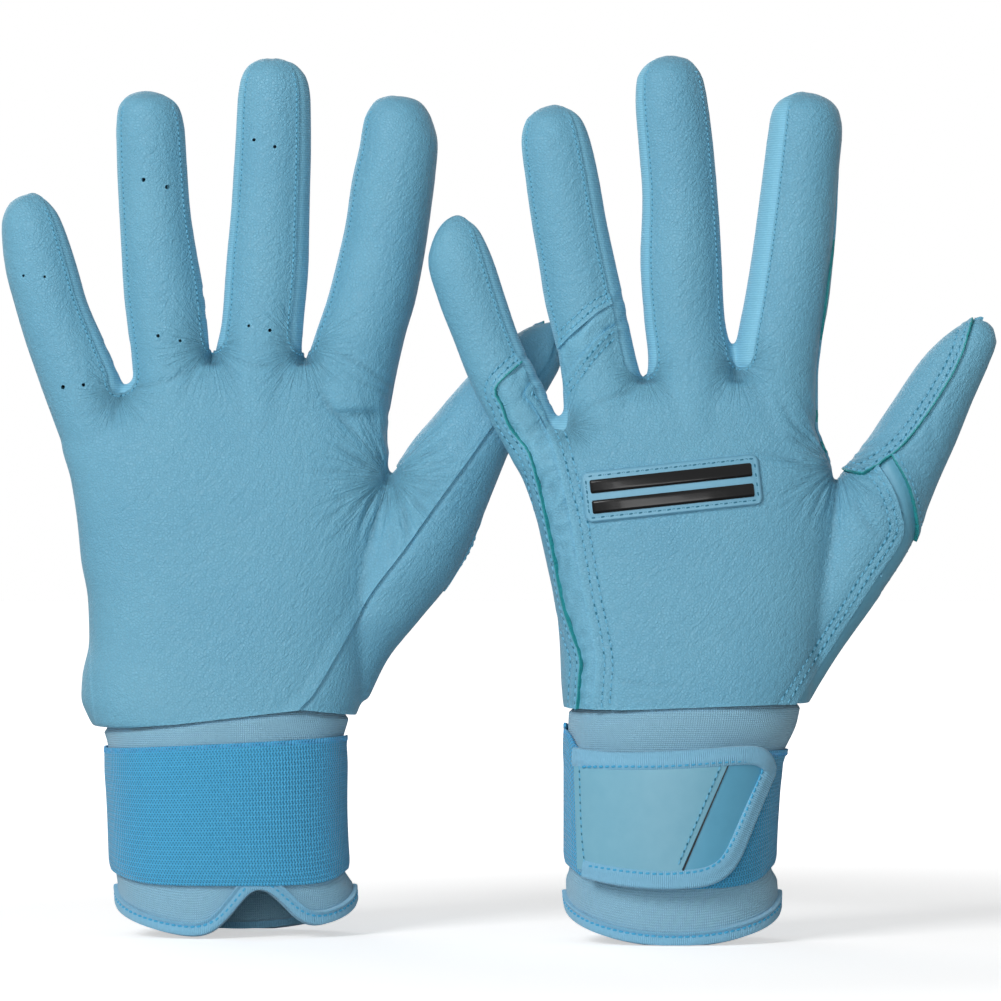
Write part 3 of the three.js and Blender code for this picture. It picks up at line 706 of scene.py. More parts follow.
def points_of(piece):
    flat = np.empty(3 * len(piece.data.vertices))
    piece.data.vertices.foreach_get("co", flat)
    return flat.reshape(-1, 3)


def set_points(piece, points):
    piece.data.vertices.foreach_set("co", points.ravel())
    piece.data.update()


def soft_normals(piece, rounds=3):
    """Vertex normals by face area, evened out along the edges, so that slivers don't count."""
    points = points_of(piece)
    piece.data.calc_loop_triangles()
    corners = np.empty(3 * len(piece.data.loop_triangles), int)
    piece.data.loop_triangles.foreach_get("vertices", corners)
    corners = corners.reshape(-1, 3)
    first, second, third = (points[corners[:, k]] for k in range(3))
    area = np.cross(second - first, third - first)
    normals = np.zeros_like(points)
    for k in range(3):
        np.add.at(normals, corners[:, k], area)
    edges = np.empty(2 * len(piece.data.edges), int)
    piece.data.edges.foreach_get("vertices", edges)
    edges = edges.reshape(-1, 2)
    for _ in range(rounds):
        spread = normals.copy()
        np.add.at(spread, edges[:, 0], normals[edges[:, 1]])
        np.add.at(spread, edges[:, 1], normals[edges[:, 0]])
        normals = spread
    return normals / np.maximum(np.linalg.norm(normals, axis=1), 1e-20)[:, None]


def side_sign(hand, side):
    return BACK[hand] if side == "back" else -BACK[hand]


ROW_SINK = 0.28 * MM
ROW_WIDTH = 0.55 * MM
WEB_LIFT = 0.3 * MM
HEM_LIFT, HEM_FADE = 0.12 * MM, 5 * MM


def seam_relief(hand, name, points):
    """How far each point of a piece is lifted or sunk by the seams round it."""
    flat, depth = points[:, [0, 2]], points[:, 1] - DEPTH[hand]
    relief = np.zeros(len(points))
    for seam, (line, read_on, side, upper, rows) in SEWN_SEAMS.items():
        line = [place(hand, p) for p in seam_on(hand, line, read_on)]
        on_side = depth * side_sign(hand, side) > -SIDE_SLACK
        distance = distance_to_line(flat, line)
        if name == upper:
            relief += on_side * EDGE_SHARE.get(seam, 1) * EDGE_LIFT * fade(distance, EDGE_FADE)
            for row in rows:
                relief -= on_side * ROW_SINK * np.exp(-((distance - row * MM) / ROW_WIDTH) ** 2)
        else:
            relief -= on_side * SEAM_SINK * fade(distance, SINK_FADE)
    for finger in FINGERS[:-1]:
        for sign in (-1, 1):
            on_side = depth * sign > 0
            for line in web_lines(hand, finger, sign < 0):
                distance = distance_to_line(flat, [place(hand, p) for p in line])
                step = -SEAM_SINK if name in STRETCH else WEB_LIFT
                relief += on_side * step * fade(distance, SINK_FADE)
    hem = [place(hand, p) for p in HEM_LINE[hand]]
    return relief + HEM_LIFT * fade(distance_to_line(flat, hem), HEM_FADE)


# Where the leather gathers: a middle in pixels, a reach in pixels and a depth in millimetres
GATHERS = {
    "left": {
        "back": [[838, 466, 105, 0.34], [737, 364, 62, 0.1], [643, 372, 56, 0.1], [566, 426, 50, 0.1]],
        "palm": [[838, 466, 90, 0.34], [737, 364, 70, 0.14], [643, 372, 66, 0.14], [566, 426, 54, 0.12]],
    },
    "right": {
        "palm": [[304, 348, 96, 0.16], [212, 346, 84, 0.14], [118, 391, 60, 0.12], [390, 476, 120, 0.42]],
        "back": [[304, 348, 60, 0.1], [212, 346, 56, 0.1], [118, 391, 50, 0.1], [390, 476, 90, 0.3]],
    },
}
# Single creases: their line in pixels, the glove and side they were read on, depth and half width in mm
CREASES = [
    ([[388, 474], [372, 452], [350, 428], [334, 412], [318, 388]], "right", "palm", 0.55, 1.1),
    ([[399, 392], [380, 378], [356, 362], [330, 352]], "right", "palm", 0.5, 0.9),
    ([[402, 404], [384, 392], [362, 384], [344, 372]], "right", "palm", 0.35, 0.8),
    ([[392, 480], [402, 502], [408, 526], [411, 544]], "right", "palm", 0.9, 1.5),
    ([[386, 482], [372, 500], [362, 524]], "right", "palm", 0.5, 1.2),
    ([[384, 474], [362, 462], [330, 454]], "right", "palm", 0.4, 1.6),
    ([[300, 366], [276, 368], [250, 364], [222, 352]], "right", "palm", 0.28, 0.9),
    ([[206, 362], [186, 374], [160, 384], [136, 388]], "right", "palm", 0.34, 1.0),
    ([[112, 404], [98, 412], [80, 418]], "right", "palm", 0.3, 1.0),
    ([[836, 462], [812, 446], [790, 420], [776, 396]], "left", "back", 0.5, 1.2),
    ([[838, 470], [806, 466], [778, 456], [752, 452]], "left", "back", 0.4, 1.3),
    ([[834, 454], [816, 428], [804, 398]], "left", "back", 0.4, 1.0),
    ([[848, 486], [856, 510], [868, 528], [884, 540]], "left", "back", 0.7, 1.6),
    ([[575, 416], [594, 404], [616, 396], [640, 386]], "left", "back", 0.35, 0.8),
    ([[600, 668], [618, 678], [646, 682], [680, 684]], "left", "back", 0.25, 0.9),
    ([[934, 448], [928, 424], [934, 404]], "left", "back", 0.3, 1.0),
]
CRUMPLE = {"side_flex_insert": 0.6, "ring_flex_insert": 0.6}
FOLDS_ROUND, LINES_ROUND = 5, 9
FOLD_LENGTH, FOLD_SHARPNESS = 14 * MM, 3.2
# A gather's folds grow from nothing at its middle and are full from this share of its reach on
FLAT_SHARE = 0.16
# Scales of the crease pattern: away from any gather, and along and between the gathers' lines
PLAIN_SCALE, LINE_SCALE, LINE_SHIFT = 0.16, 0.06, 0.1
CREASE_END_SHARE, CREASE_TAPER = 0.35, 6 * MM
SWELL, SWELL_SIZE = 0.32 * MM, 24 * MM
CRUMPLE_SIZE = 5.5 * MM


def gather_field(hand, points):
    """Folds that run out from each gather: their height, their mask and their own coordinates.

    The mask is 0 halfway between two gathers, where the coordinates change from one to the other."""
    height_here = np.zeros(len(points))
    mask, second = np.zeros(len(points)), np.zeros(len(points))
    coordinates = points / MM * PLAIN_SCALE
    for side, gathers in GATHERS[hand].items():
        on_side = (points[:, 1] - DEPTH[hand]) * side_sign(hand, side) > 0
        for px, py, reach, deep in gathers:
            x, z = place(hand, (px, py))
            dx, dz = points[:, 0] - x, points[:, 2] - z
            radius = np.hypot(dx, dz)
            reach_here = reach * UNIT[hand]
            here = on_side * fade(radius, reach_here) * np.clip(radius / (FLAT_SHARE * reach_here), 0, 1)
            angle = np.arctan2(dz, dx)
            circle = np.stack([np.cos(angle), np.sin(angle)], axis=1)
            near = here > 0
            around = np.column_stack([circle * FOLDS_ROUND, radius / FOLD_LENGTH])
            wave = np.zeros(len(points))
            wave[near] = [1 - FOLD_SHARPNESS * abs(noise.noise(p)) for p in around[near]]
            height_here += here * np.clip(wave, -1, 1) * deep * MM
            stronger = here > mask
            second = np.maximum(second, np.minimum(mask, here))
            mask = np.maximum(mask, here)
            polar = np.column_stack([circle * LINES_ROUND, radius / MM * LINE_SCALE + px * LINE_SHIFT])
            coordinates[stronger] = polar[stronger]
    flat, depth = points[:, [0, 2]], points[:, 1] - DEPTH[hand]
    for line, read_on, side, deep, width in CREASES:
        line = smooth_path(seam_on(hand, line, read_on), 2 * SEAM_STEP_PX)
        line = np.array([place(hand, p) for p in line])
        ends = np.minimum(*(np.linalg.norm(flat - end, axis=1) for end in (line[0], line[-1])))
        on_side = depth * side_sign(hand, side) > 0
        groove = np.exp(-((distance_to_line(flat, line) / (width * MM)) ** 2))
        full = CREASE_END_SHARE + (1 - CREASE_END_SHARE) * np.clip(ends / CREASE_TAPER, 0, 1)
        height_here -= on_side * groove * deep * MM * full
    return height_here, mask - second, coordinates


def keep_attribute(piece, name, kind, values):
    layer = piece.data.attributes.new(name, kind, "POINT")
    key = "vector" if kind == "FLOAT_VECTOR" else "value"
    layer.data.foreach_set(key, np.ascontiguousarray(values).ravel())


RAW_SEAMS = ("pinky", "overlay", "index_side", "gusset")
RAW_WIDTH = 0.9 * MM
# How near its seam's line a point of the rim lies, and how many such points are measured at once
ON_LINE, BATCH = 0.15 * MM, 60


def raw_edge(hand, name, piece, points):
    """1 on the undyed cut edges of a piece and 0 a little way in, measured over the surface."""
    mesh = bmesh.new()
    mesh.from_mesh(piece.data)
    edge = np.array([v.co for v in mesh.verts if v.is_boundary])
    mesh.free()
    mask = np.zeros(len(points))
    for line, read_on, side, upper, _ in (SEWN_SEAMS[seam] for seam in RAW_SEAMS):
        if name != upper:
            continue
        line = [place(hand, p) for p in seam_on(hand, line, read_on)]
        on_line = edge[distance_to_line(edge[:, [0, 2]], line) < ON_LINE]
        on_line = on_line[(on_line[:, 1] - DEPTH[hand]) * side_sign(hand, side) > -SIDE_SLACK]
        for start in range(0, len(on_line), BATCH):
            apart = np.linalg.norm(points[:, None] - on_line[None, start:start + BATCH], axis=2)
            mask = np.maximum(mask, fade(apart.min(axis=1), RAW_WIDTH))
    return mask


surfaces = {}
for (hand, name), piece in skins.items():
    points = points_of(piece)
    keep_attribute(piece, "cut_edge", "FLOAT", raw_edge(hand, name, piece, points))
    relief = seam_relief(hand, name, points)
    swell = np.array([noise.noise(p) for p in points / SWELL_SIZE])
    relief += SWELL * swell
    if name in CRUMPLE:
        rumple = np.array([noise.noise(p) for p in points / CRUMPLE_SIZE])
        relief += CRUMPLE[name] * MM * (0.4 - np.abs(rumple)) * 2
    folds, mask, coordinates = gather_field(hand, points)
    if name not in STRETCH:
        relief += folds
    set_points(piece, points + soft_normals(piece) * relief[:, None])
    keep_attribute(piece, "gather", "FLOAT", mask)
    keep_attribute(piece, "gather_place", "FLOAT_VECTOR", coordinates)
    surfaces[hand, name] = BVHTree.FromPolygons([tuple(p) for p in points_of(piece)],
                                                [tuple(f.vertices) for f in piece.data.polygons])
print("seams raised on", len(skins), "pieces")

# %% [markdown]
# A cut piece is still a sheet without thickness. Solidify gives it the leather's, inwards, so that
# the outside stays where it is. Its rim takes the outside's finish, which is undyed at a raw seam.

# %% The leather's thickness
LEATHER = 1.2 * MM
SMOOTH_ANGLE = math.radians(42)


def shade(piece):
    pick(piece)
    bpy.ops.object.shade_smooth_by_angle(angle=SMOOTH_ANGLE)


def carry(piece, body, slot, *nodes):
    """Lets a finished piece ride on its body and stand for its CAD nodes."""
    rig.ride(piece, body)
    if nodes:
        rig.replaces(piece, *nodes)
    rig.slot(piece, slot)


SIDES = [bpy.data.materials.new(name) for name in ("outside", "inside", "cut edge")]
for (hand, name), piece in skins.items():
    for side in SIDES:
        piece.data.materials.append(side)
    apply_modifier(piece, "SOLIDIFY", thickness=LEATHER, offset=-1, use_rim=True,
                   material_offset=1, material_offset_rim=2)
    shade(piece)
    carry(piece, "pair", "stretch_strip" if name in STRETCH else "leather", f"{hand}_{name}")
print("triangles", sum(len(p.data.polygons) for p in skins.values()) * 2, "at most in the leather")

# %% [markdown]
# Cuff, hem binding, elastic and tab are all strips of cloth of one section, so one helper sweeps a
# section along a path. Each point of the cuff is given by a turn round its oval, a height and how far
# it stands out, and the mesh keeps a UV map in millimetres, so that a weave can follow the strip.

# %% Sweeping a section
CUFF_SQUARENESS = 2.2
CUFF_DEPTH = 22.5 * MM
CUFF_ROWS = {
    "left": [[685, 566, 812], [700, 567, 804], [725, 567, 797], [748, 568, 786], [765, 569, 778],
             [800, 569, 774], [865, 569, 771], [880, 565, 778], [925, 567, 780]],
    "right": [[685, 90, 360], [700, 92, 357], [720, 98, 350], [746, 107, 343], [800, 112, 342],
              [869, 115, 345], [885, 117, 354], [905, 117, 356], [940, 120, 352]],
}


def cuff_point(hand, turn, z, out):
    """A point that stands out from the cuff's oval at a turn and a height."""
    px = np.atleast_1d(MIDDLE_PX - (z - MIDDLE_Z) / UNIT[hand])
    left, right = smooth_rows(CUFF_ROWS[hand], px)[0]
    half = (right - left) / 2 * UNIT[hand] + out
    centre = across(hand, (left + right) / 2)
    c, s = math.cos(turn), math.sin(turn)
    x = centre + half * math.copysign(abs(c) ** (2 / CUFF_SQUARENESS), c)
    y = DEPTH[hand] + (CUFF_DEPTH + out) * math.copysign(abs(s) ** (2 / CUFF_SQUARENESS), s)
    return Vector((x, y, z))


def turn_at(hand, px, py, out):
    """The turn at which a pixel of the back lies on the oval, seen by the camera on the left glove."""
    left, right = smooth_rows(CUFF_ROWS[hand], np.array([float(py)]))[0]
    half = (right - left) / 2 + out / UNIT[hand]
    u = max(-0.9999, min(0.9999, (px - (left + right) / 2) / half))
    c = math.copysign(abs(u) ** (CUFF_SQUARENESS / 2), u)
    return BACK[hand] * math.acos(c)


def swept(name, sections, closed=False):
    """A closed piece from rows of points, each row a closed section of equal count."""
    sections = np.asarray([[tuple(p) for p in section] for section in sections])
    count, sides = sections.shape[:2]
    along = np.append(0, np.cumsum(np.linalg.norm(np.diff(sections[:, 0], axis=0), axis=1)))
    round_it = np.append(0, np.cumsum(np.linalg.norm(np.diff(sections[0], axis=0), axis=1)))
    mesh = bmesh.new()
    rows = [[mesh.verts.new(p) for p in section] for section in sections]
    for r in range(count if closed else count - 1):
        here, after = rows[r], rows[(r + 1) % count]
        for k in range(sides):
            j = (k + 1) % sides
            mesh.faces.new((here[k], here[j], after[j], after[k]))
    if not closed:
        mesh.faces.new(rows[0])
        mesh.faces.new(rows[-1][::-1])
    place_of = {vert: (r, k) for r, row in enumerate(rows) for k, vert in enumerate(row)}
    layer = mesh.loops.layers.uv.new("cloth")
    for face in mesh.faces:
        spots = [place_of[loop.vert] for loop in face.loops]
        wraps_row = max(r for r, _ in spots) - min(r for r, _ in spots) > 1
        wraps_side = max(k for _, k in spots) - min(k for _, k in spots) > 1
        for loop, (r, k) in zip(face.loops, spots):
            u = along[r] if not (wraps_row and r == 0) else along[-1] + along[1]
            v = round_it[k] if not (wraps_side and k == 0) else round_it[-1]
            loop[layer].uv = (u / MM, v / MM)
    bmesh.ops.recalc_face_normals(mesh, faces=mesh.faces)
    return add_object(name, mesh)


# %% [markdown]
# The hem is a tape folded round the cuff's lower edge. It hangs lower at the back than at the sides,
# and on the palm it makes two lobes with a notch between them. Both gloves stand on it, so what would
# reach below the floor is cut flat. The cuff's knit tube ends where the tape begins.

# %% The knit cuff and its hem
HEM_LEVEL = height("left", 876) - 8.3 * MM
HEM_BACK_DIP, HEM_PALM_DIP = 10.4 * MM, 10.4 * MM
HEM_FULLNESS = 0.42
HEM_TAPE, HEM_RISE = 4.2 * MM, 0.75 * MM
NOTCH_PLACE, NOTCH_WIDTH = 0.61, 0.145
NOTCH_RISE = HEM_PALM_DIP + 8.3 * MM - HEM_TAPE - 0.6 * MM
CUFF_WALL = 2 * MM
HEM_EDGES_PX = {"left": (564, 776), "right": (111, 350)}
CUFF_COLUMNS = 260
KNIT_DRAW, KNIT_TUCK, UNDER_LEATHER = 11 * MM, 0.35 * MM, 1.9 * MM
KNIT_ABOVE_HEM, KNIT_FLOOR = 1.2 * MM, 0.3 * MM
# The knit's rows lie in two runs, below and above the level where the elastic begins
LOWER_ROWS, LOWER_END_PX = 30, 745
UPPER_ROWS, UPPER_START_PX, KNIT_TOP_PX = 24, 744, 698
STEEPEST = 1.45


def cuff_share(turn):
    """The place across the cuff at a turn, from 0 at the left to 1 at the right."""
    return (math.copysign(abs(math.cos(turn)) ** (2 / CUFF_SQUARENESS), math.cos(turn)) + 1) / 2


def hem_height(hand, turn):
    share = cuff_share(turn)
    dip = abs(math.sin(math.pi * share)) ** HEM_FULLNESS
    if math.sin(turn) * BACK[hand] > 0:
        return HEM_LEVEL - HEM_BACK_DIP * dip
    notch = NOTCH_RISE * math.exp(-(((share - NOTCH_PLACE) / NOTCH_WIDTH) ** 2))
    return HEM_LEVEL - HEM_PALM_DIP * dip + notch


def tuck(hand, turn, z):
    """How far the knit stands out: it draws in towards the leather's hem and lies under it above."""
    px = (cuff_point(hand, turn, z, 0).x - MIDDLE_X) / UNIT[hand] + MIDDLE_PX
    hem = height(hand, np.interp(px, *np.array(HEM_LINE[hand], float).T))
    below = np.clip((hem - z) / KNIT_DRAW, 0, 1)
    under = np.clip((z - hem) / (1.5 * MM) + 1, 0, 1)
    return -0.25 * MM - KNIT_TUCK * (1 - below) ** 2 - (UNDER_LEATHER - KNIT_TUCK) * under


def knit_cuff(hand):
    upper = np.linspace(height(hand, UPPER_START_PX), height(hand, KNIT_TOP_PX), UPPER_ROWS)
    sections = []
    for k in range(CUFF_COLUMNS):
        turn = 2 * math.pi * k / CUFF_COLUMNS
        bottom = hem_height(hand, turn) + KNIT_ABOVE_HEM
        levels = np.append(np.linspace(bottom, height(hand, LOWER_END_PX), LOWER_ROWS), upper)
        outer = [cuff_point(hand, turn, max(z, KNIT_FLOOR), tuck(hand, turn, z)) for z in levels]
        inner = [cuff_point(hand, turn, max(z, KNIT_FLOOR), -CUFF_WALL - UNDER_LEATHER)
                 for z in levels[::-4]]
        sections.append(outer + inner)
    return swept(f"{hand}_cuff_knit", sections, closed=True)


# The tape's section: how far out it stands and how far above the hem, in shares of rise and width
HEM_SECTION = [(0.75, 0.1), (1, 0.22), (1, 0.4), (0.95, 0.6), (0.72, 0.7), (0.95, 0.79), (1.25, 0.86),
               (1.3, 0.94), (1.0, 1.0), (0.2, 1.02)]
HEM_COLUMNS = 820


def steepness(hand, turn, step=0.01):
    """How much taller the tape stands where the hem climbs, so that it stays as wide across."""
    ends = [cuff_point(hand, t, hem_height(hand, t), 0) for t in (turn - step, turn + step)]
    run = math.hypot(ends[1].x - ends[0].x, ends[1].y - ends[0].y)
    return min(STEEPEST, math.hypot(1, (ends[1].z - ends[0].z) / run))


def hem_tape(hand):
    sections = []
    for k in range(HEM_COLUMNS):
        turn = 2 * math.pi * k / HEM_COLUMNS
        low = hem_height(hand, turn)
        tall = HEM_TAPE * steepness(hand, turn)
        ring = [cuff_point(hand, turn, max(low + up * tall, 0), out * HEM_RISE) for out, up in HEM_SECTION]
        ring += [cuff_point(hand, turn, max(low + up * tall, 0), -CUFF_WALL - out * HEM_RISE)
                 for out, up in [(0.2, 1.0), (0.9, 0.9), (1, 0.4), (0.75, 0.12)]]
        ring.append(cuff_point(hand, turn, max(low, 0), -CUFF_WALL / 2))
        sections.append(ring)
    return swept(f"{hand}_hem_tape", sections, closed=True)


cuffs, hems = {}, {}
for hand in hands:
    cuffs[hand], hems[hand] = knit_cuff(hand), hem_tape(hand)
    shade(cuffs[hand])
    shade(hems[hand])
    carry(cuffs[hand], "pair", "knit_cuff", f"{hand}_cuff_sleeve")
    carry(hems[hand], "pair", "binding_tape", f"{hand}_hem_binding")
print("cuffs", [len(piece.data.polygons) for piece in [*cuffs.values(), *hems.values()]])

# %% [markdown]
# The elastic goes round the wrist and leaves a window at the back, which the tab covers. Its upper
# edge runs a little askew, as a band does that was sewn on by hand, and its lower edge sags.

# %% The elastic band
BAND_OUT, BAND_WALL = 1.6 * MM, 1.3 * MM
WINDOW_PX, WINDOW_ROW_PX = (584, 664), 815
LEFT_CUFF_PX, CUFF_SPAN_PX = 564, 218
BAND_COLUMNS = 300
BAND_TOP_PX = {"left": {"back": (747, 749), "palm": (741, 749)},
               "right": {"palm": (747, 735), "back": (746, 738)}}
BAND_BOTTOM_PX = {"left": 862, "right": 868}
# How far the lower edge sags in pixels, and how square that sag is
BAND_SAG = {"left": (22, 4), "right": (13, 6)}
SIDE_RISE_PX = {"left": 18, "right": 0}
# The wall's shares from the lower to the upper edge, which is drawn in towards the knit
BAND_WALL_SHARES = [0.62, 0.9] + [1] * 18 + [0.96, 0.88, 0.78, 0.66, 0.54, 0.42]


def band_edges(hand, turn):
    """Lower and upper edge of the band at a turn."""
    share = cuff_share(turn)
    side = "back" if math.sin(turn) * BACK[hand] > 0 else "palm"
    first, last = BAND_TOP_PX[hand][side]
    deep, squareness = BAND_SAG[hand]
    sag = deep * (1 - abs(2 * share - 1) ** squareness)
    rise = SIDE_RISE_PX[hand] * fade(share, 0.06)
    return height(hand, BAND_BOTTOM_PX[hand] + sag), height(hand, first + share * (last - first) - rise)


def window_turns(hand):
    """The turns at which the band ends, on both sides of the window."""
    left, right = HEM_EDGES_PX[hand]
    span = WINDOW_PX
    if hand == "right":
        span = [left + (px - LEFT_CUFF_PX) / CUFF_SPAN_PX * (right - left) for px in WINDOW_PX]
    return [turn_at(hand, px, WINDOW_ROW_PX, BAND_OUT) for px in span]


def elastic_band(hand):
    first, last = window_turns(hand)
    if BACK[hand] < 0:
        first, last = last, first
    last += 2 * math.pi
    sections = []
    for k in range(BAND_COLUMNS + 1):
        turn = first + (last - first) * k / BAND_COLUMNS
        low, high = band_edges(hand, turn)
        levels = np.linspace(low, high, len(BAND_WALL_SHARES))
        outer = [cuff_point(hand, turn, z, BAND_OUT - (1 - share) * BAND_WALL)
                 for z, share in zip(levels, BAND_WALL_SHARES)]
        inner = [cuff_point(hand, turn, z, BAND_OUT - BAND_WALL) for z in levels[::-5]]
        sections.append(outer + inner)
    return swept(f"{hand}_elastic", sections)


bands = {hand: elastic_band(hand) for hand in hands}
for hand, piece in bands.items():
    shade(piece)
    carry(piece, "pair", "elastic", f"{hand}_elastic_band")
print("bands", [len(piece.data.polygons) for piece in bands.values()])

# %% [markdown]
# The tab lies over the elastic. Its plates are thin areas with four corners, bent round the cuff, and
# a ribbed tape is folded over its three free edges. Under its end are the hook patch, which moves
# with it, and the loop patch, which stays on the band. Everything is read on the left glove.

# %% The tab, its tape and its patches
TAB_FLOOR, TAB_TOP = 4.4 * MM, 6 * MM
TAPE_HALF, TAPE_HEIGHT = 2.75 * MM, 2.15 * MM
TAPE_STEP = 0.4 * MM
TAB_TAPE_PX = [[573, 757], [596, 760], [619, 761.5], [655, 761], [688, 759.5], [720, 757], [744, 755.2],
               [758, 756], [767, 761], [770.5, 770], [766, 781], [753, 811], [739.5, 843], [732, 858],
               [723, 868.5], [710, 875.5], [692, 879], [660, 880], [627, 877.5], [600, 873], [583, 869]]
TAB_LEATHER_PX = [[577, 869], [680, 874], [729.5, 761], [573.5, 761]]
TAB_INLAY_PX = [[681, 876], [724, 870], [768, 762], [730.5, 761]]
INK_LINE_PX = [[683, 871], [728.6, 764]]
LOOP_PX = [[668, 866], [722, 866], [744, 772], [668, 772]]
HOOK_PX = [[646, 872], [720, 872], [722, 768], [646, 768]]
ROOT_TAPE_PX = [[574, 872], [589, 872], [589, 768], [574, 768]]
RIGHT_RISE_PX = 5
# Each plate: its corners, lower side, upper side, crown, and where it isn't the usual, its grid
TAB_PLATES = {
    "tab_face": (TAB_LEATHER_PX, TAB_FLOOR, TAB_TOP, 0.35 * MM),
    "tab_end": (TAB_INLAY_PX, TAB_FLOOR, TAB_TOP - 0.15 * MM, 0.1 * MM),
    "hook_pad": (HOOK_PX, 3.2 * MM, 4.1 * MM),
    "loop_pad": (LOOP_PX, 2 * MM, 2.9 * MM),
    "root_tape": (ROOT_TAPE_PX, 2 * MM, 4.1 * MM, 0, 30, 8),
}
# Each piece with its material slot and its CAD node
TAB_NODES = {
    "tab_tape": ("binding_tape", "tab_binding"),
    "tab_face": ("tab_leather", "tab_leather"),
    "tab_end": ("tab_inlay", "tab_inlay"),
    "hook_pad": ("hook_tape", "hook_patch"),
    "loop_pad": ("loop_pile", "loop_patch"),
    "root_tape": ("binding_tape", "tab_root_tape"),
}
STAYS_ON_CUFF = ("loop_pad", "root_tape")


def tab_pixel(hand, point):
    """The same place on either glove's cuff, less what it gains by being nearer the camera."""
    half = CUFF_SPAN_PX / 2
    sideways = min(1, abs(point[0] - LEFT_CUFF_PX - half) / (half + TAB_TOP / UNIT["left"]))
    nearer = (CUFF_DEPTH + TAB_TOP) * (1 - sideways ** CUFF_SQUARENESS) ** (1 / CUFF_SQUARENESS)
    px, py = (MIDDLE_PX + (p - MIDDLE_PX) * (1 - nearer / VIEW_DISTANCE) for p in point)
    if hand == "left":
        return px, py
    left, right = HEM_EDGES_PX[hand]
    return left + (px - LEFT_CUFF_PX) / CUFF_SPAN_PX * (right - left), py - RIGHT_RISE_PX


def on_tab(hand, point, out):
    px, py = tab_pixel(hand, point)
    return cuff_point(hand, turn_at(hand, px, py, TAB_TOP), height(hand, py), out)


def frames_on_tab(hand, path, out):
    """Points, tangents, sideways directions and normals along a path on the tab."""
    spots = [on_tab(hand, p, out) for p in path]
    normals = [(on_tab(hand, p, out + MM) - s).normalized() for p, s in zip(path, spots)]
    tangents = [(spots[min(k + 1, len(spots) - 1)] - spots[max(k - 1, 0)]).normalized()
                for k in range(len(spots))]
    return [(s, t, n.cross(t), n) for s, t, n in zip(spots, tangents, normals)]


def tape_section(steps=14):
    """Shares of half width and height round a soft-edged tape."""
    ring = []
    for k in range(steps):
        turn = 2 * math.pi * (k + 0.5) / steps
        c, s = math.cos(turn), math.sin(turn)
        ring.append((math.copysign(abs(c) ** 0.55, c), 0.5 + 0.5 * math.copysign(abs(s) ** 0.7, s)))
    return ring


def tab_tape(hand):
    path = smooth_path(TAB_TAPE_PX, TAPE_STEP / UNIT[hand])
    sections = []
    for spot, _, side, normal in frames_on_tab(hand, path, TAB_FLOOR):
        sections.append([spot + side * (a * TAPE_HALF) + normal * (b * TAPE_HEIGHT)
                         for a, b in tape_section()])
    return swept(f"{hand}_tab_tape", sections)


def plate(name, hand, corners, low, high, crown=0, rows=44, columns=52):
    """A thin plate over an area with four corners: low left, low right, top right, top left."""
    corners = [np.array(c, float) for c in corners]
    sections = []
    for r in range(rows + 1):
        v = r / rows
        start, end = corners[0] * (1 - v) + corners[3] * v, corners[1] * (1 - v) + corners[2] * v
        line = [start * (1 - u) + end * u for u in np.linspace(0, 1, columns + 1)]
        bulge = [crown * abs(math.sin(math.pi * k / columns) * math.sin(math.pi * v)) ** 0.6
                 for k in range(columns + 1)]
        outer = [on_tab(hand, p, high + b) for p, b in zip(line, bulge)]
        inner = [on_tab(hand, p, low) for p in line[::-1]]
        sections.append(outer + inner)
    return swept(name, sections)


tab_pieces = {}
for hand in hands:
    for name, (slot, cad_node) in TAB_NODES.items():
        if name in TAB_PLATES:
            piece = plate(f"{hand}_{name}", hand, *TAB_PLATES[name])
        else:
            piece = tab_tape(hand)
        shade(piece)
        carry(piece, "pair" if name in STAYS_ON_CUFF else f"{hand}_tab", slot, f"{hand}_{cad_node}")
        tab_pieces[hand, name] = piece
print("tab pieces", {piece.name: len(piece.data.polygons) for piece in tab_pieces.values()})

# %% [markdown]
# The badge is a soft rubber plate. It's laid on the back of the hand by sending a ray down to the
# leather for every point of a grid, and the distance to its edge gives it a rounded rim and a shallow
# channel for its stitches. Two gloss bars lie on it.

# %% The badge on the back of the hand
BADGE_PX, BADGE_SLOPE = (670.5, 488.5), math.radians(6.2)
BADGE_LENGTH, BADGE_HEIGHT, BADGE_CORNER = 50.6 * MM, 14.4 * MM, 2.2 * MM
BAR_LENGTH, BAR_HEIGHT, BAR_PITCH = 46 * MM, 3.8 * MM, 5.8 * MM
BADGE_CHANNEL = 1.3 * MM
BADGE_TOP, BAR_TOP = 1.35 * MM, 1.95 * MM
RAY_START = 0.3


def badge_point(hand, u, v, up):
    x, z = place(hand, seam_on(hand, [BADGE_PX], "left")[0])
    x += u * math.cos(BADGE_SLOPE) - v * math.sin(BADGE_SLOPE)
    z += u * math.sin(BADGE_SLOPE) + v * math.cos(BADGE_SLOPE)
    sign = BACK[hand]
    start = Vector((x, DEPTH[hand] + sign * RAY_START, z))
    spot = surfaces[hand, "back_leather"].ray_cast(start, Vector((0, -sign, 0)))[0]
    return spot + Vector((0, sign, 0)) * up


def rounded_grid(length, tall, corner, step):
    """Rows of a rectangle with round corners: its heights, and the half length at each."""
    rows = max(4, int(tall / step))
    for v in np.linspace(-tall / 2, tall / 2, rows + 1):
        over = max(0, abs(v) - (tall / 2 - corner))
        yield v, length / 2 - corner + math.sqrt(max(corner ** 2 - over ** 2, 0))


def badge_plate(name, hand, length, tall, corner, offset, low, profile, step=0.45 * MM):
    columns = int(length / step)
    sections = []
    for v, half in rounded_grid(length, tall, corner, step):
        outer, inner = [], []
        for u in np.linspace(-half, half, columns + 1):
            edge = min(half - abs(u), tall / 2 - abs(v))
            outer.append(badge_point(hand, u, v + offset, profile(edge)))
            inner.append(badge_point(hand, u, v + offset, low))
        sections.append(outer + inner[::-1])
    return swept(name, sections)


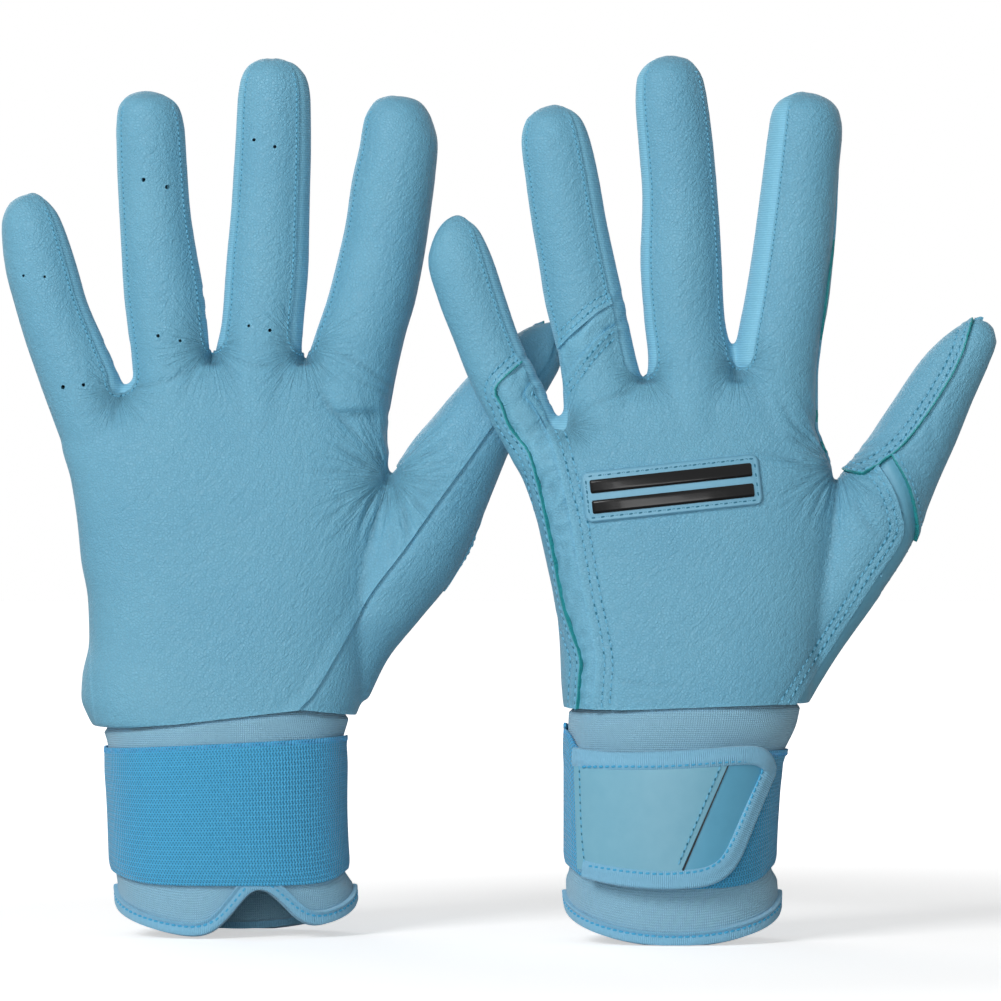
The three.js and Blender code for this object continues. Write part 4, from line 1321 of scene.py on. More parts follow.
def plate_profile(edge):
    rim = BADGE_TOP * (0.45 + 0.55 * math.sqrt(min(1, edge / (0.7 * MM))))
    channel = 0.22 * MM * math.exp(-(((edge - BADGE_CHANNEL) / (0.4 * MM)) ** 2))
    return rim - channel


def bar_profile(edge):
    return BAR_TOP - 0.35 * MM * (1 - math.sqrt(min(1, edge / (0.5 * MM))))


badges = {}
for hand in hands:
    badges[hand] = badge_plate(f"{hand}_badge", hand, BADGE_LENGTH, BADGE_HEIGHT, BADGE_CORNER, 0, 0.1 * MM,
                               plate_profile)
    shade(badges[hand])
    carry(badges[hand], "pair", "badge_plate", f"{hand}_badge_base")
    for name, side in (("upper", 1), ("lower", -1)):
        bar = badge_plate(f"{hand}_bar_{name}", hand, BAR_LENGTH, BAR_HEIGHT, 0.3 * MM, side * BAR_PITCH / 2,
                          BADGE_TOP - 0.25 * MM, bar_profile, 0.4 * MM)
        shade(bar)
        carry(bar, "pair", "badge_bar", f"{hand}_badge_bar_{name}")
        badges[hand, name] = bar
print("badge plates", [len(piece.data.polygons) for piece in badges.values()])

# %% [markdown]
# Every stitch is a short bead of thread that dips into the leather at both ends, where the needle
# left a small hole. Each hole is a small flat cone coloured dark, as painted shade. One bead and one
# hole are modelled with a few faces each and repeated along the seams, which are found on the skin by rays.

# %% Threads and needle holes
BEAD_SIDES = 6
HOLE_SIDES = 6
THREAD, HOLE = 0, 1


def bead():
    """A stitch of unit length along X, unit radius across and its outside along Z."""
    rings = [(-0.5, 0.35, -0.75), (-0.25, 0.95, -0.1), (0.25, 0.95, -0.1), (0.5, 0.35, -0.75)]
    verts = [(x, r * math.cos(a), r * math.sin(a) + drop) for x, r, drop in rings
             for a in 2 * math.pi * np.arange(BEAD_SIDES) / BEAD_SIDES]
    faces = [(r * BEAD_SIDES + k, (r + 1) * BEAD_SIDES + k, (r + 1) * BEAD_SIDES + (k + 1) % BEAD_SIDES,
              r * BEAD_SIDES + (k + 1) % BEAD_SIDES) for r in range(3) for k in range(BEAD_SIDES)]
    faces += [tuple(range(BEAD_SIDES)), tuple(range(4 * BEAD_SIDES - 1, 3 * BEAD_SIDES - 1, -1))]
    return np.array(verts), faces


def needle_hole():
    """A small flat cone with its rim up and its tip down, as a closed piece."""
    verts = [(math.cos(a), math.sin(a), 0.12) for a in 2 * math.pi * np.arange(HOLE_SIDES) / HOLE_SIDES]
    verts += [(0, 0, -0.05), (0, 0, -1)]
    faces = []
    for k in range(HOLE_SIDES):
        j = (k + 1) % HOLE_SIDES
        faces += [(k, j, HOLE_SIDES), (j, k, HOLE_SIDES + 1)]
    return np.array(verts), faces


def stitches(name, rows, length, radius, hole_radius, lean=0.12):
    """One object of beads, and of holes between them, from rows of spots, tangents and normals."""
    verts, faces, kinds = [], [], []
    templates = [(THREAD, *bead(), (length, radius, radius))]
    if hole_radius:
        templates.append((HOLE, *needle_hole(), (1.5 * hole_radius, hole_radius, hole_radius)))
    for row in rows:
        for (spot, tangent, normal), (after, _, _) in zip(row, row[1:] + [row[-1]]):
            for kind, shape, sides, scale in templates:
                middle = spot if kind == THREAD else (spot + after) / 2
                tilt = lean if kind == THREAD else 2 * lean
                along = (tangent + normal.cross(tangent) * tilt).normalized()
                turn = np.array([along, normal.cross(along), normal])
                start = len(verts)
                verts.extend((shape * scale) @ turn + np.array(middle))
                faces.extend(tuple(start + k for k in side) for side in sides)
                kinds.extend([kind] * len(sides))
    data = bpy.data.meshes.new(name)
    data.from_pydata([tuple(v) for v in verts], [], faces)
    data.polygons.foreach_set("material_index", kinds)
    piece = bpy.data.objects.new(name, data)
    bpy.context.scene.collection.objects.link(piece)
    mesh = bmesh.new()
    mesh.from_mesh(data)
    bmesh.ops.recalc_face_normals(mesh, faces=mesh.faces)
    mesh.to_mesh(data)
    mesh.free()
    shade(piece)
    return piece


def evenly(spots, normals, pitch):
    """Stitches at an even pitch along fine spots, with their tangents."""
    spots, normals = np.array(spots), np.array(normals)
    length = np.append(0, np.cumsum(np.linalg.norm(np.diff(spots, axis=0), axis=1)))
    at = np.arange(pitch / 2, length[-1], pitch)
    middle = np.stack([np.interp(at, length, spots[:, k]) for k in range(3)], axis=1)
    before = np.stack([np.interp(at - pitch / 3, length, spots[:, k]) for k in range(3)], axis=1)
    after = np.stack([np.interp(at + pitch / 3, length, spots[:, k]) for k in range(3)], axis=1)
    up = np.stack([np.interp(at, length, normals[:, k]) for k in range(3)], axis=1)
    row = []
    for m, a, b, n in zip(middle, before, after, up):
        tangent, normal = Vector(b - a).normalized(), Vector(n).normalized()
        normal = (normal - tangent * normal.dot(tangent)).normalized()
        row.append((Vector(m), tangent, normal))
    return row


def drop_on(surface, hand, sign, x, z):
    start = Vector((x, DEPTH[hand] + sign * RAY_START, z))
    spot, normal, _, _ = surface.ray_cast(start, Vector((0, -sign, 0)))
    if spot is None or (spot.y - DEPTH[hand]) * sign < 0:
        return None
    return spot, normal if normal.y * sign > 0 else -normal


def offset_line(line, distance):
    line = np.asarray(line)
    along = np.gradient(line, axis=0)
    along /= np.maximum(np.linalg.norm(along, axis=1), 1e-12)[:, None]
    return line + distance * np.stack([-along[:, 1], along[:, 0]], axis=1)


ROW_GAP = 2 * MM
SHORTEST_ROW = 12


def row_on(surface, hand, sign, line, distance, pitch):
    """The stitch rows that a line, moved sideways, leaves on a surface. A gap starts a new row."""
    rows, run = [], []
    for x, z in offset_line(line, distance):
        hit = drop_on(surface, hand, sign, x, z)
        if hit and (not run or (hit[0] - run[-1][0]).length < ROW_GAP):
            run.append(hit)
        else:
            rows.append(run)
            run = [hit] if hit else []
    rows.append(run)
    return [evenly([s for s, _ in run], [n for _, n in run], pitch)
            for run in rows if len(run) > SHORTEST_ROW]


SEAM_PITCH, SEAM_STITCH, SEAM_THREAD, SEAM_HOLE = 2.3 * MM, 1.7 * MM, 0.32 * MM, 0.34 * MM
WEB_PITCH, WEB_STITCH, WEB_OFFSET = 1.5 * MM, 1.15 * MM, 0.5 * MM
WEB_THREAD, WEB_HOLE = 0.26 * MM, 0.2 * MM
# The rows leave out these first points of a strip's line, where it runs close round a fingertip
TIP_POINTS = 4
FINE = 0.35 * MM


def seam_rows(hand):
    rows = []
    for line, read_on, side, upper, distances in SEWN_SEAMS.values():
        if not distances:
            continue
        sign = side_sign(hand, side)
        path = smooth_path([place(hand, p) for p in seam_on(hand, line, read_on)], FINE)
        surface = surfaces[hand, upper]
        found = {way: row_on(surface, hand, sign, path, way * distances[0] * MM, SEAM_PITCH)
                 for way in (-1, 1)}
        way = max(found, key=lambda w: sum(len(row) for row in found[w]))
        for distance in distances:
            rows += row_on(surface, hand, sign, path, way * distance * MM, SEAM_PITCH)
    return rows


def web_rows(hand):
    """Stitches along the strips between the fingers, on the leather just beside them."""
    rows = []
    for sign in (-1, 1):
        is_back = sign == BACK[hand]
        for finger, neighbour in zip(FINGERS, FINGERS[1:]):
            first, second = web_lines(hand, finger, sign < 0)
            for owner, points, way in ((finger, first[TIP_POINTS:], -1), (neighbour, second[TIP_POINTS:], 1)):
                piece = "palm_leather"
                if is_back:
                    piece = {"pinky": "pinky_back", "ring": "ring_back"}.get(owner, "back_leather")
                path = smooth_path([place(hand, p) for p in points], FINE)
                rows += row_on(surfaces[hand, piece], hand, sign, path, way * WEB_OFFSET, WEB_PITCH)
    return rows


seams = {}
for hand in hands:
    seams[hand, "seam"] = stitches(f"{hand}_seam_threads", seam_rows(hand), SEAM_STITCH, SEAM_THREAD,
                                   SEAM_HOLE)
    seams[hand, "web"] = stitches(f"{hand}_web_threads", web_rows(hand), WEB_STITCH, WEB_THREAD, WEB_HOLE)
    for key in ("seam", "web"):
        carry(seams[hand, key], "pair", "binding_tape")
print("seam threads", [len(piece.data.polygons) for piece in seams.values()])

# %% [markdown]
# The tab's tape, its root and its end, the hem and the badge have longer stitches. The elastic's upper
# edge is whipped over with slanting thread, which keeps a cut elastic from fraying.

# %% Threads of the tab, the hem, the badge and the elastic
TAPE_PITCH, TAPE_STITCH, TAPE_THREAD = 1.9 * MM, 1.6 * MM, 0.36 * MM
FACE_PITCH, FACE_STITCH, FACE_THREAD, FACE_HOLE = 2.2 * MM, 1.6 * MM, 0.28 * MM, 0.3 * MM
TAB_STITCH_PX = [[582, 767], [619, 766.5], [655, 766.5], [688, 765], [720, 762.5], [745, 761.5], [758, 763.5],
                 [761.5, 770], [753.5, 791], [736.5, 832.5], [725, 854], [715.5, 864], [705, 869.5],
                 [690, 872.5], [660, 874], [627, 871.5], [590, 866]]
ROOT_STITCH_PX = [[579.5, 764], [580.5, 800], [582, 835], [585, 866]]
END_STITCH_PX = [[721, 765], [676.5, 869]]
WHIP_PITCH, WHIP_LENGTH, WHIP_THREAD = 1.05 * MM, 1.9 * MM, 0.22 * MM
BADGE_PITCH, BADGE_STITCH, BADGE_THREAD, BADGE_HOLE = 2.7 * MM, 1.4 * MM, 0.26 * MM, 0.3 * MM
INK_RADIUS, INK_SIDES, INK_STEP, INK_RISE = 0.17 * MM, 8, 0.8 * MM, 0.05 * MM


def tab_row(hand, path_px, out, pitch):
    frames = frames_on_tab(hand, smooth_path(path_px, FINE / UNIT[hand]), out)
    return evenly([f[0] for f in frames], [f[3] for f in frames], pitch)


def ring_row(hand, pitch, level, out, fine=700):
    """A row right round the cuff, at a level and a standing out that depend on the turn."""
    spots, normals = [], []
    for k in range(fine + 1):
        turn = 2 * math.pi * k / fine
        z = level(turn)
        spots.append(cuff_point(hand, turn, z, out))
        normals.append((cuff_point(hand, turn, z, out + MM) - spots[-1]).normalized())
    return evenly(spots, normals, pitch)


def badge_row(hand):
    half, tall, corner = BADGE_LENGTH / 2 - BADGE_CHANNEL, BADGE_HEIGHT / 2 - BADGE_CHANNEL, 0.9 * MM
    ring = []
    for sx, sy, start in ((1, 1, 0), (-1, 1, 1), (-1, -1, 2), (1, -1, 3)):
        for k in range(5):
            a = (start + k / 4) * math.pi / 2
            ring.append((sx * (half - corner) + corner * math.cos(a),
                         sy * (tall - corner) + corner * math.sin(a)))
    ring.append(ring[0])
    dense = []
    for a, b in zip(ring, ring[1:]):
        steps = max(1, int(math.dist(a, b) / FINE))
        dense += [(a[0] + (b[0] - a[0]) * k / steps, a[1] + (b[1] - a[1]) * k / steps) for k in range(steps)]
    spots = [badge_point(hand, u, v, BADGE_TOP - 0.2 * MM) for u, v in dense]
    return evenly(spots, [(0, BACK[hand], 0)] * len(dense), BADGE_PITCH)


def ink_line(hand):
    """A fine dark line that lies on the tab between its face and its end."""
    turn = 2 * math.pi * np.arange(INK_SIDES) / INK_SIDES
    sections = []
    path = smooth_path(INK_LINE_PX, INK_STEP / UNIT[hand])
    for spot, _, side, normal in frames_on_tab(hand, path, TAB_TOP + INK_RISE):
        sections.append([spot + side * (INK_RADIUS * math.cos(a)) + normal * (INK_RADIUS * math.sin(a))
                         for a in turn])
    return swept(f"{hand}_tab_line", sections)


def whip_rows(hand):
    """Slanting beads over the elastic's edge, each as a row of its own."""
    row = ring_row(hand, WHIP_PITCH, lambda turn: band_edges(hand, turn)[1] - 0.8 * MM, BAND_OUT - 0.7 * MM)
    rows = []
    for spot, tangent, normal in row:
        turned = (normal.cross(tangent) * 0.94 + tangent * 0.34).normalized()
        rows.append([(spot, turned, normal)])
    left, right = tab_pixel(hand, (WINDOW_PX[0], 0))[0], tab_pixel(hand, (WINDOW_PX[1], 0))[0]
    return [r for r in rows if not (across(hand, left) < r[0][0].x < across(hand, right)
                                    and (r[0][0].y - DEPTH[hand]) * BACK[hand] > 0)]


trims = {}
for hand in hands:
    tab_rows = [tab_row(hand, TAB_STITCH_PX, TAB_FLOOR + 0.93 * TAPE_HEIGHT, TAPE_PITCH)]
    face_rows = [tab_row(hand, ROOT_STITCH_PX, TAB_TOP + 0.12 * MM, FACE_PITCH),
                 tab_row(hand, END_STITCH_PX, TAB_TOP + 0.2 * MM, FACE_PITCH)]
    trims[hand, "tape"] = stitches(f"{hand}_tab_threads", tab_rows, TAPE_STITCH, TAPE_THREAD, 0)
    trims[hand, "face"] = stitches(f"{hand}_tab_face_threads", face_rows, FACE_STITCH, FACE_THREAD, FACE_HOLE)
    hem_row = ring_row(hand, TAPE_PITCH, lambda turn: max(hem_height(hand, turn) + 0.68 * HEM_TAPE, 0.5 * MM),
                       0.82 * HEM_RISE)
    trims[hand, "hem"] = stitches(f"{hand}_hem_threads", [hem_row], TAPE_STITCH, TAPE_THREAD, 0)
    trims[hand, "badge"] = stitches(f"{hand}_badge_threads", [badge_row(hand)], BADGE_STITCH, BADGE_THREAD,
                                    BADGE_HOLE)
    trims[hand, "whip"] = stitches(f"{hand}_elastic_threads", whip_rows(hand), WHIP_LENGTH, WHIP_THREAD, 0, 0)
    trims[hand, "ink"] = ink_line(hand)
    shade(trims[hand, "ink"])
    for key, slot in (("tape", "binding_tape"), ("face", "tab_leather"), ("ink", "badge_bar")):
        carry(trims[hand, key], f"{hand}_tab", slot)
    for key, slot in (("hem", "binding_tape"), ("badge", "badge_plate"), ("whip", "elastic")):
        carry(trims[hand, key], "pair", slot)
print("trim threads", {piece.name: len(piece.data.polygons) for piece in trims.values()})

# %% [markdown]
# Colour and surface come from nodes. What several finishes share is a node group: a leather's grain
# and blotches, a cloth's weave on the strip's own UV map, and masks that pale a raised edge and lay
# painted shade into concave places such as creases and seams. The groups put out only masks and
# heights, and each material keeps its own shader.

# %% Node groups for grain, weave and folds
def new_group(name, inputs, outputs):
    group = bpy.data.node_groups.new(name, "ShaderNodeTree")
    for title, value in inputs.items():
        socket = group.interface.new_socket(title, in_out="INPUT", socket_type="NodeSocketFloat")
        socket.default_value = value
    for title in outputs:
        group.interface.new_socket(title, in_out="OUTPUT", socket_type="NodeSocketFloat")
    return group, group.nodes.new("NodeGroupInput"), group.nodes.new("NodeGroupOutput")


def node(tree, kind, links=(), **settings):
    made = tree.nodes.new(kind)
    for key, value in settings.items():
        setattr(made, key, value)
    for socket, source in dict(links).items():
        if hasattr(source, "is_output"):
            tree.links.new(source, made.inputs[socket])
        else:
            made.inputs[socket].default_value = source
    return made


def arithmetic(tree, operation, a, b=0.0):
    return node(tree, "ShaderNodeMath", {0: a, 1: b}, operation=operation).outputs[0]


def weighted_sum(tree, *terms):
    """The sum of sockets, each times its weight."""
    parts = [arithmetic(tree, "MULTIPLY", source, weight) for source, weight in terms]
    total = parts[0]
    for part in parts[1:]:
        total = arithmetic(tree, "ADD", total, part)
    return total


def leather_group():
    group, start, end = new_group("leather grain", {"Grain": 1150.0, "Folds": 1.0},
                                  ["Height", "Blotch", "Pores"])
    spot = node(group, "ShaderNodeTexCoord").outputs["Object"]
    cells = node(group, "ShaderNodeTexVoronoi",
                 {"Vector": spot, "Scale": start.outputs["Grain"], "Randomness": 0.9},
                 feature="DISTANCE_TO_EDGE").outputs["Distance"]
    pebble = node(group, "ShaderNodeMapRange", {"Value": cells, "From Min": 0.0, "From Max": 0.22}).outputs[0]
    fine = node(group, "ShaderNodeTexNoise", {"Vector": spot, "Scale": 620.0, "Detail": 4.0}).outputs[0]
    blotch = node(group, "ShaderNodeTexNoise", {"Vector": spot, "Scale": 34.0, "Detail": 3.0}).outputs[0]
    mask = node(group, "ShaderNodeAttribute", attribute_name="gather").outputs["Fac"]
    place_of = node(group, "ShaderNodeAttribute", attribute_name="gather_place").outputs["Vector"]
    folds = node(group, "ShaderNodeTexNoise",
                 {"Vector": place_of, "Scale": 1.6, "Detail": 3.0, "Distortion": 0.5})
    sharp = node(group, "ShaderNodeMapRange", {"Value": folds.outputs[0], "From Min": 0.36, "From Max": 0.62})
    creased = arithmetic(group, "MULTIPLY", arithmetic(group, "MULTIPLY", sharp.outputs[0], mask),
                         start.outputs["Folds"])
    turned = node(group, "ShaderNodeMapping", {"Vector": spot, "Rotation": (0, -0.75, 0)})
    drawn = node(group, "ShaderNodeMapping", {"Vector": turned.outputs[0], "Scale": (1, 1, 0.42)})
    wrinkles = node(group, "ShaderNodeTexNoise", {"Vector": drawn.outputs[0], "Scale": 900.0, "Detail": 2.0,
                                                  "Distortion": 0.4}).outputs[0]
    relief = weighted_sum(group, (pebble, 0.35), (fine, 0.4), (wrinkles, 1.5), (creased, 1.6))
    group.links.new(relief, end.inputs["Height"])
    group.links.new(blotch, end.inputs["Blotch"])
    group.links.new(pebble, end.inputs["Pores"])
    return group


def weave_group():
    """Ribs along and across a strip, and rows of small dots, from its UV map in millimetres."""
    group, start, end = new_group("weave", {"Along": 0.7, "Across": 0.7}, ["Height", "Dots"])
    uv = node(group, "ShaderNodeSeparateXYZ", {0: node(group, "ShaderNodeUVMap", uv_map="cloth").outputs[0]})
    waves = []
    for value, pitch in ((uv.outputs[0], start.outputs["Along"]), (uv.outputs[1], start.outputs["Across"])):
        turns = arithmetic(group, "MULTIPLY", arithmetic(group, "DIVIDE", value, pitch), 2 * math.pi)
        waves.append(arithmetic(group, "SINE", turns))
    both = arithmetic(group, "ADD", waves[0], waves[1])
    dots = node(group, "ShaderNodeMapRange", {"Value": arithmetic(group, "MULTIPLY", waves[0], waves[1]),
                                              "From Min": 0.3, "From Max": 0.85}).outputs[0]
    group.links.new(both, end.inputs["Height"])
    group.links.new(dots, end.inputs["Dots"])
    return group


def ridge_pale_and_crease_shade_group():
    """Where a surface is raised or hollow, from its pointiness. The hollow mask serves as painted shade in creases and
    along seams.
    """
    group, start, end = new_group("pale ridges and painted crease shade", {"Width": 0.06}, ["Raised", "Hollow"])
    point = node(group, "ShaderNodeNewGeometry").outputs["Pointiness"]
    low = arithmetic(group, "SUBTRACT", 0.5, start.outputs["Width"])
    high = arithmetic(group, "ADD", 0.5, start.outputs["Width"])
    raised = node(group, "ShaderNodeMapRange", {"Value": point, "From Min": 0.5, "From Max": high}).outputs[0]
    hollow = node(group, "ShaderNodeMapRange", {"Value": point, "From Min": 0.5, "From Max": low}).outputs[0]
    group.links.new(raised, end.inputs["Raised"])
    group.links.new(hollow, end.inputs["Hollow"])
    return group


LEATHER_GRAIN, WEAVE, RIDGE_PALE_AND_CREASE_SHADE = leather_group(), weave_group(), ridge_pale_and_crease_shade_group()
print("node groups", [group.name for group in (LEATHER_GRAIN, WEAVE, RIDGE_PALE_AND_CREASE_SHADE)])

# %% [markdown]
# A colour is written as it looks on screen and turned into the linear value that the shader wants.
# Leather gets a broad soft gloss, cloth a sheen and hardly any gloss, and the bars a thin clear coat.

# %% Materials
def linear(colour):
    return [c / 12.92 if c <= 0.04045 else ((c + 0.055) / 1.055) ** 2.4 for c in colour] + [1.0]


def new_material(name, roughness, sheen=0.0, coat=0.0, specular=0.5):
    material = bpy.data.materials.new(name)
    material.use_nodes = True
    shader = material.node_tree.nodes["Principled BSDF"]
    shader.inputs["Roughness"].default_value = roughness
    shader.inputs["Sheen Weight"].default_value = sheen
    shader.inputs["Sheen Roughness"].default_value = 0.4
    shader.inputs["Coat Weight"].default_value = coat
    shader.inputs["Coat Roughness"].default_value = 0.06
    shader.inputs["Specular IOR Level"].default_value = specular
    return material, material.node_tree, shader


def place_group(tree, group, **values):
    placed = node(tree, "ShaderNodeGroup", node_tree=group)
    for title, value in values.items():
        placed.inputs[title].default_value = value
    return placed


def mix(tree, share, first, second):
    made = node(tree, "ShaderNodeMix", data_type="RGBA")
    for socket, source in ((0, share), (6, first), (7, second)):
        if hasattr(source, "is_output"):
            tree.links.new(source, made.inputs[socket])
        else:
            made.inputs[socket].default_value = source
    return made.outputs[2]


def bump(tree, shader, height_socket, strength, distance):
    made = node(tree, "ShaderNodeBump", {"Height": height_socket, "Strength": strength, "Distance": distance})
    tree.links.new(made.outputs[0], shader.inputs["Normal"])


CUT_EDGE = (0.16, 0.6, 0.62)


def leather(name, pale, deep, roughness=0.5, grain=1150.0, folds=1.0, strength=0.75):
    material, tree, shader = new_material(name, roughness, sheen=0.04, specular=0.4)
    grained = place_group(tree, LEATHER_GRAIN, Grain=grain, Folds=folds)
    ridges_and_crease_shade = place_group(tree, RIDGE_PALE_AND_CREASE_SHADE, Width=0.05)
    colour = mix(tree, grained.outputs["Blotch"], linear(deep), linear(pale))
    dark = [c * 0.62 for c in deep]
    pores = arithmetic(tree, "MULTIPLY", arithmetic(tree, "SUBTRACT", 1.0, grained.outputs["Pores"]), 0.16)
    colour = mix(tree, pores, colour, linear(dark))
    # Painted shade: the leather is darkened where its surface is hollow, in creases and along seams.
    colour = mix(tree, arithmetic(tree, "MULTIPLY", ridges_and_crease_shade.outputs["Hollow"], 0.45), colour, linear(dark))
    light = [min(1, c * 1.12) for c in pale]
    # Raised edges are made paler.
    colour = mix(tree, arithmetic(tree, "MULTIPLY", ridges_and_crease_shade.outputs["Raised"], 0.3), colour, linear(light))
    edge = node(tree, "ShaderNodeAttribute", attribute_name="cut_edge").outputs["Fac"]
    undyed = node(tree, "ShaderNodeMapRange", {"Value": edge, "From Min": 0.45, "From Max": 0.7}).outputs[0]
    colour = mix(tree, undyed, colour, linear(CUT_EDGE))
    tree.links.new(colour, shader.inputs["Base Color"])
    bump(tree, shader, grained.outputs["Height"], strength, 0.00034)
    return material


def cloth(name, pale, deep, along, across_pitch, strength=0.6, dots=0.5, rise=0.00012):
    material, tree, shader = new_material(name, 0.85, sheen=0.3, specular=0.2)
    woven = place_group(tree, WEAVE, Along=along, Across=across_pitch)
    fuzz = node(tree, "ShaderNodeTexNoise", {"Vector": node(tree, "ShaderNodeTexCoord").outputs["Object"],
                                             "Scale": 900.0, "Detail": 3.0}).outputs[0]
    colour = mix(tree, fuzz, linear(deep), linear(pale))
    dark = [c * 0.55 for c in deep]
    colour = mix(tree, arithmetic(tree, "MULTIPLY", woven.outputs["Dots"], dots), colour, linear(dark))
    tree.links.new(colour, shader.inputs["Base Color"])
    both = arithmetic(tree, "ADD", woven.outputs["Height"], fuzz)
    bump(tree, shader, both, strength, rise)
    return material


def plain(name, pale, deep, roughness, scale, strength, rise=0.0001, **finish):
    """A finish whose colour and bump come from one noise on object coordinates."""
    material, tree, shader = new_material(name, roughness, **finish)
    spots = node(tree, "ShaderNodeTexNoise", {"Vector": node(tree, "ShaderNodeTexCoord").outputs["Object"],
                                              "Scale": scale, "Detail": 4.0}).outputs[0]
    tree.links.new(mix(tree, spots, linear(deep), linear(pale)), shader.inputs["Base Color"])
    bump(tree, shader, spots, strength, rise)
    return material


# A wave texture turns by this many radians over one unit, at a scale of 1
WAVE_TURN = 20


def ribbed(name, pale, deep, roughness, pitch, rise=0.00012):
    """Level ribs, one above another, as on a strip that stretches across a finger."""
    material, tree, shader = new_material(name, roughness, sheen=0.1, specular=0.3)
    spot = node(tree, "ShaderNodeTexCoord").outputs["Object"]
    scale = 2 * math.pi / (WAVE_TURN * pitch)
    ribs = node(tree, "ShaderNodeTexWave", {"Vector": spot, "Scale": scale, "Distortion": 1.5, "Detail": 1.0},
                bands_direction="Z").outputs[1]
    tree.links.new(mix(tree, ribs, linear(deep), linear(pale)), shader.inputs["Base Color"])
    bump(tree, shader, ribs, 0.5, rise)
    return material


FINISH = {
    "leather": leather("glove leather", (0.46, 0.71, 0.81), (0.4, 0.66, 0.78), roughness=0.44),
    "flex": leather("flex leather", (0.47, 0.72, 0.82), (0.41, 0.67, 0.79), folds=0.6),
    "strip": ribbed("stretch strip", (0.55, 0.8, 0.9), (0.48, 0.74, 0.85), 0.62, 0.65 * MM),
    "gusset": plain("gusset strip", (0.42, 0.68, 0.78), (0.36, 0.62, 0.73), 0.5, 500.0, 0.2),
    "suede": plain("suede side", (0.4, 0.62, 0.7), (0.32, 0.54, 0.62), 0.95, 420.0, 0.5, sheen=0.2),
    "knit": cloth("knit cuff", (0.6, 0.79, 0.88), (0.54, 0.73, 0.83), 0.62, 0.62, dots=0.2),
    "elastic": cloth("elastic", (0.35, 0.73, 0.91), (0.28, 0.66, 0.85), 0.9, 1.3, dots=0.9, rise=0.0002),
    "tape": cloth("binding tape", (0.56, 0.79, 0.91), (0.5, 0.73, 0.85), 0.58, 3.0, dots=0.0, rise=0.00015),
    "tab": plain("tab leather", (0.5, 0.72, 0.8), (0.45, 0.68, 0.77), 0.42, 240.0, 0.2, rise=0.0002,
                 specular=0.4),
    "inlay": plain("tab inlay", (0.36, 0.65, 0.77), (0.33, 0.61, 0.73), 0.42, 260.0, 0.08),
    "loop": plain("loop pile", (0.46, 0.68, 0.79), (0.34, 0.56, 0.7), 1.0, 800.0, 1.0, rise=0.0005,
                  sheen=0.5),
    "hook": cloth("hook tape", (0.36, 0.6, 0.72), (0.28, 0.52, 0.66), 1.0, 1.0, dots=0.6, rise=0.0004),
    "badge": plain("badge rubber", (0.47, 0.7, 0.8), (0.43, 0.66, 0.77), 0.5, 500.0, 0.15),
    "bar": plain("gloss bar", (0.03, 0.035, 0.04), (0.02, 0.024, 0.03), 0.2, 40.0, 0.03, coat=0.1,
                 specular=0.18),
    "thread": plain("thread", (0.46, 0.75, 0.86), (0.36, 0.66, 0.8), 0.6, 2500.0, 0.4, sheen=0.1),
    "bright thread": plain("bright thread", (0.3, 0.72, 0.88), (0.18, 0.6, 0.8), 0.55, 2500.0, 0.4,
                           sheen=0.1),
    "elastic thread": plain("elastic thread", (0.38, 0.7, 0.88), (0.26, 0.58, 0.8), 0.6, 2500.0, 0.4),
    # Painted shade: the dark of the needle holes. The badge's stitches take this colour as theirs too.
    "hole": plain("needle hole shade and badge thread", (0.2, 0.48, 0.58), (0.15, 0.42, 0.52), 0.9, 800.0, 0.2),
    "ink": plain("ink line", (0.06, 0.08, 0.1), (0.03, 0.04, 0.06), 0.5, 600.0, 0.1),
}


def dress(piece, *finishes):
    """Puts finishes in a piece's slots. The slots aren't cleared, because that resets its faces."""
    slots = piece.data.materials
    for k, finish in enumerate(finishes):
        if k < len(slots):
            slots[k] = FINISH[finish]
        else:
            slots.append(FINISH[finish])


for (hand, name), piece in skins.items():
    outside = "gusset" if "gusset" in name else "strip" if name in STRETCH else "leather"
    outside = "flex" if name in CRUMPLE else outside
    dress(piece, outside, "suede", outside)
for hand in hands:
    for piece, finish in ((cuffs[hand], "knit"), (hems[hand], "tape"), (bands[hand], "elastic"),
                          (badges[hand], "badge"), (badges[hand, "upper"], "bar"),
                          (badges[hand, "lower"], "bar")):
        dress(piece, finish)
    for name, finish in (("tab_tape", "tape"), ("tab_face", "tab"), ("tab_end", "inlay"),
                         ("hook_pad", "hook"), ("loop_pad", "loop"), ("root_tape", "tape")):
        dress(tab_pieces[hand, name], finish)
    for key in ("seam", "web"):
        dress(seams[hand, key], "thread", "hole")
    for key, first in (("tape", "bright thread"), ("face", "thread"), ("hem", "bright thread"),
                       ("badge", "hole"), ("whip", "elastic thread")):
        dress(trims[hand, key], first, "hole")
    dress(trims[hand, "ink"], "ink")
print("finishes", sorted(FINISH))

# %% [markdown]
# The light comes from the upper left and from in front, so the right sides fall off into shade. Two
# weaker lamps light the front and the far side. The backdrop is white only to the camera and in
# reflections, and gives the gloves no more than a weak even light.

# %% Light, floor and backdrop
FRONT = Vector((MIDDLE_X, DEPTH["left"], MIDDLE_Z))
FLOOR_SIZE, FLOOR_DROP = 12, 0.0002
# Each lamp: its place from the middle of the view, its size in metres and its power in watts
LAMPS = {"key": ((-1.05, -1.6, 1.05), 0.8, 27.0), "front": ((-0.1, -2.0, 0.12), 0.7, 10.0),
         "behind": ((-0.9, 1.7, 0.9), 1.2, 8.0)}
AMBIENT = 0.11


def aim(location, target):
    return (target - location).to_track_quat("-Z", "Y").to_euler()


for name, (offset, size, watts) in LAMPS.items():
    spot = FRONT + Vector(offset)
    bpy.ops.object.light_add(type="AREA", location=spot, rotation=aim(spot, FRONT))
    lamp = bpy.context.active_object
    lamp.name = name + " lamp"
    lamp.data.size = size
    lamp.data.energy = watts

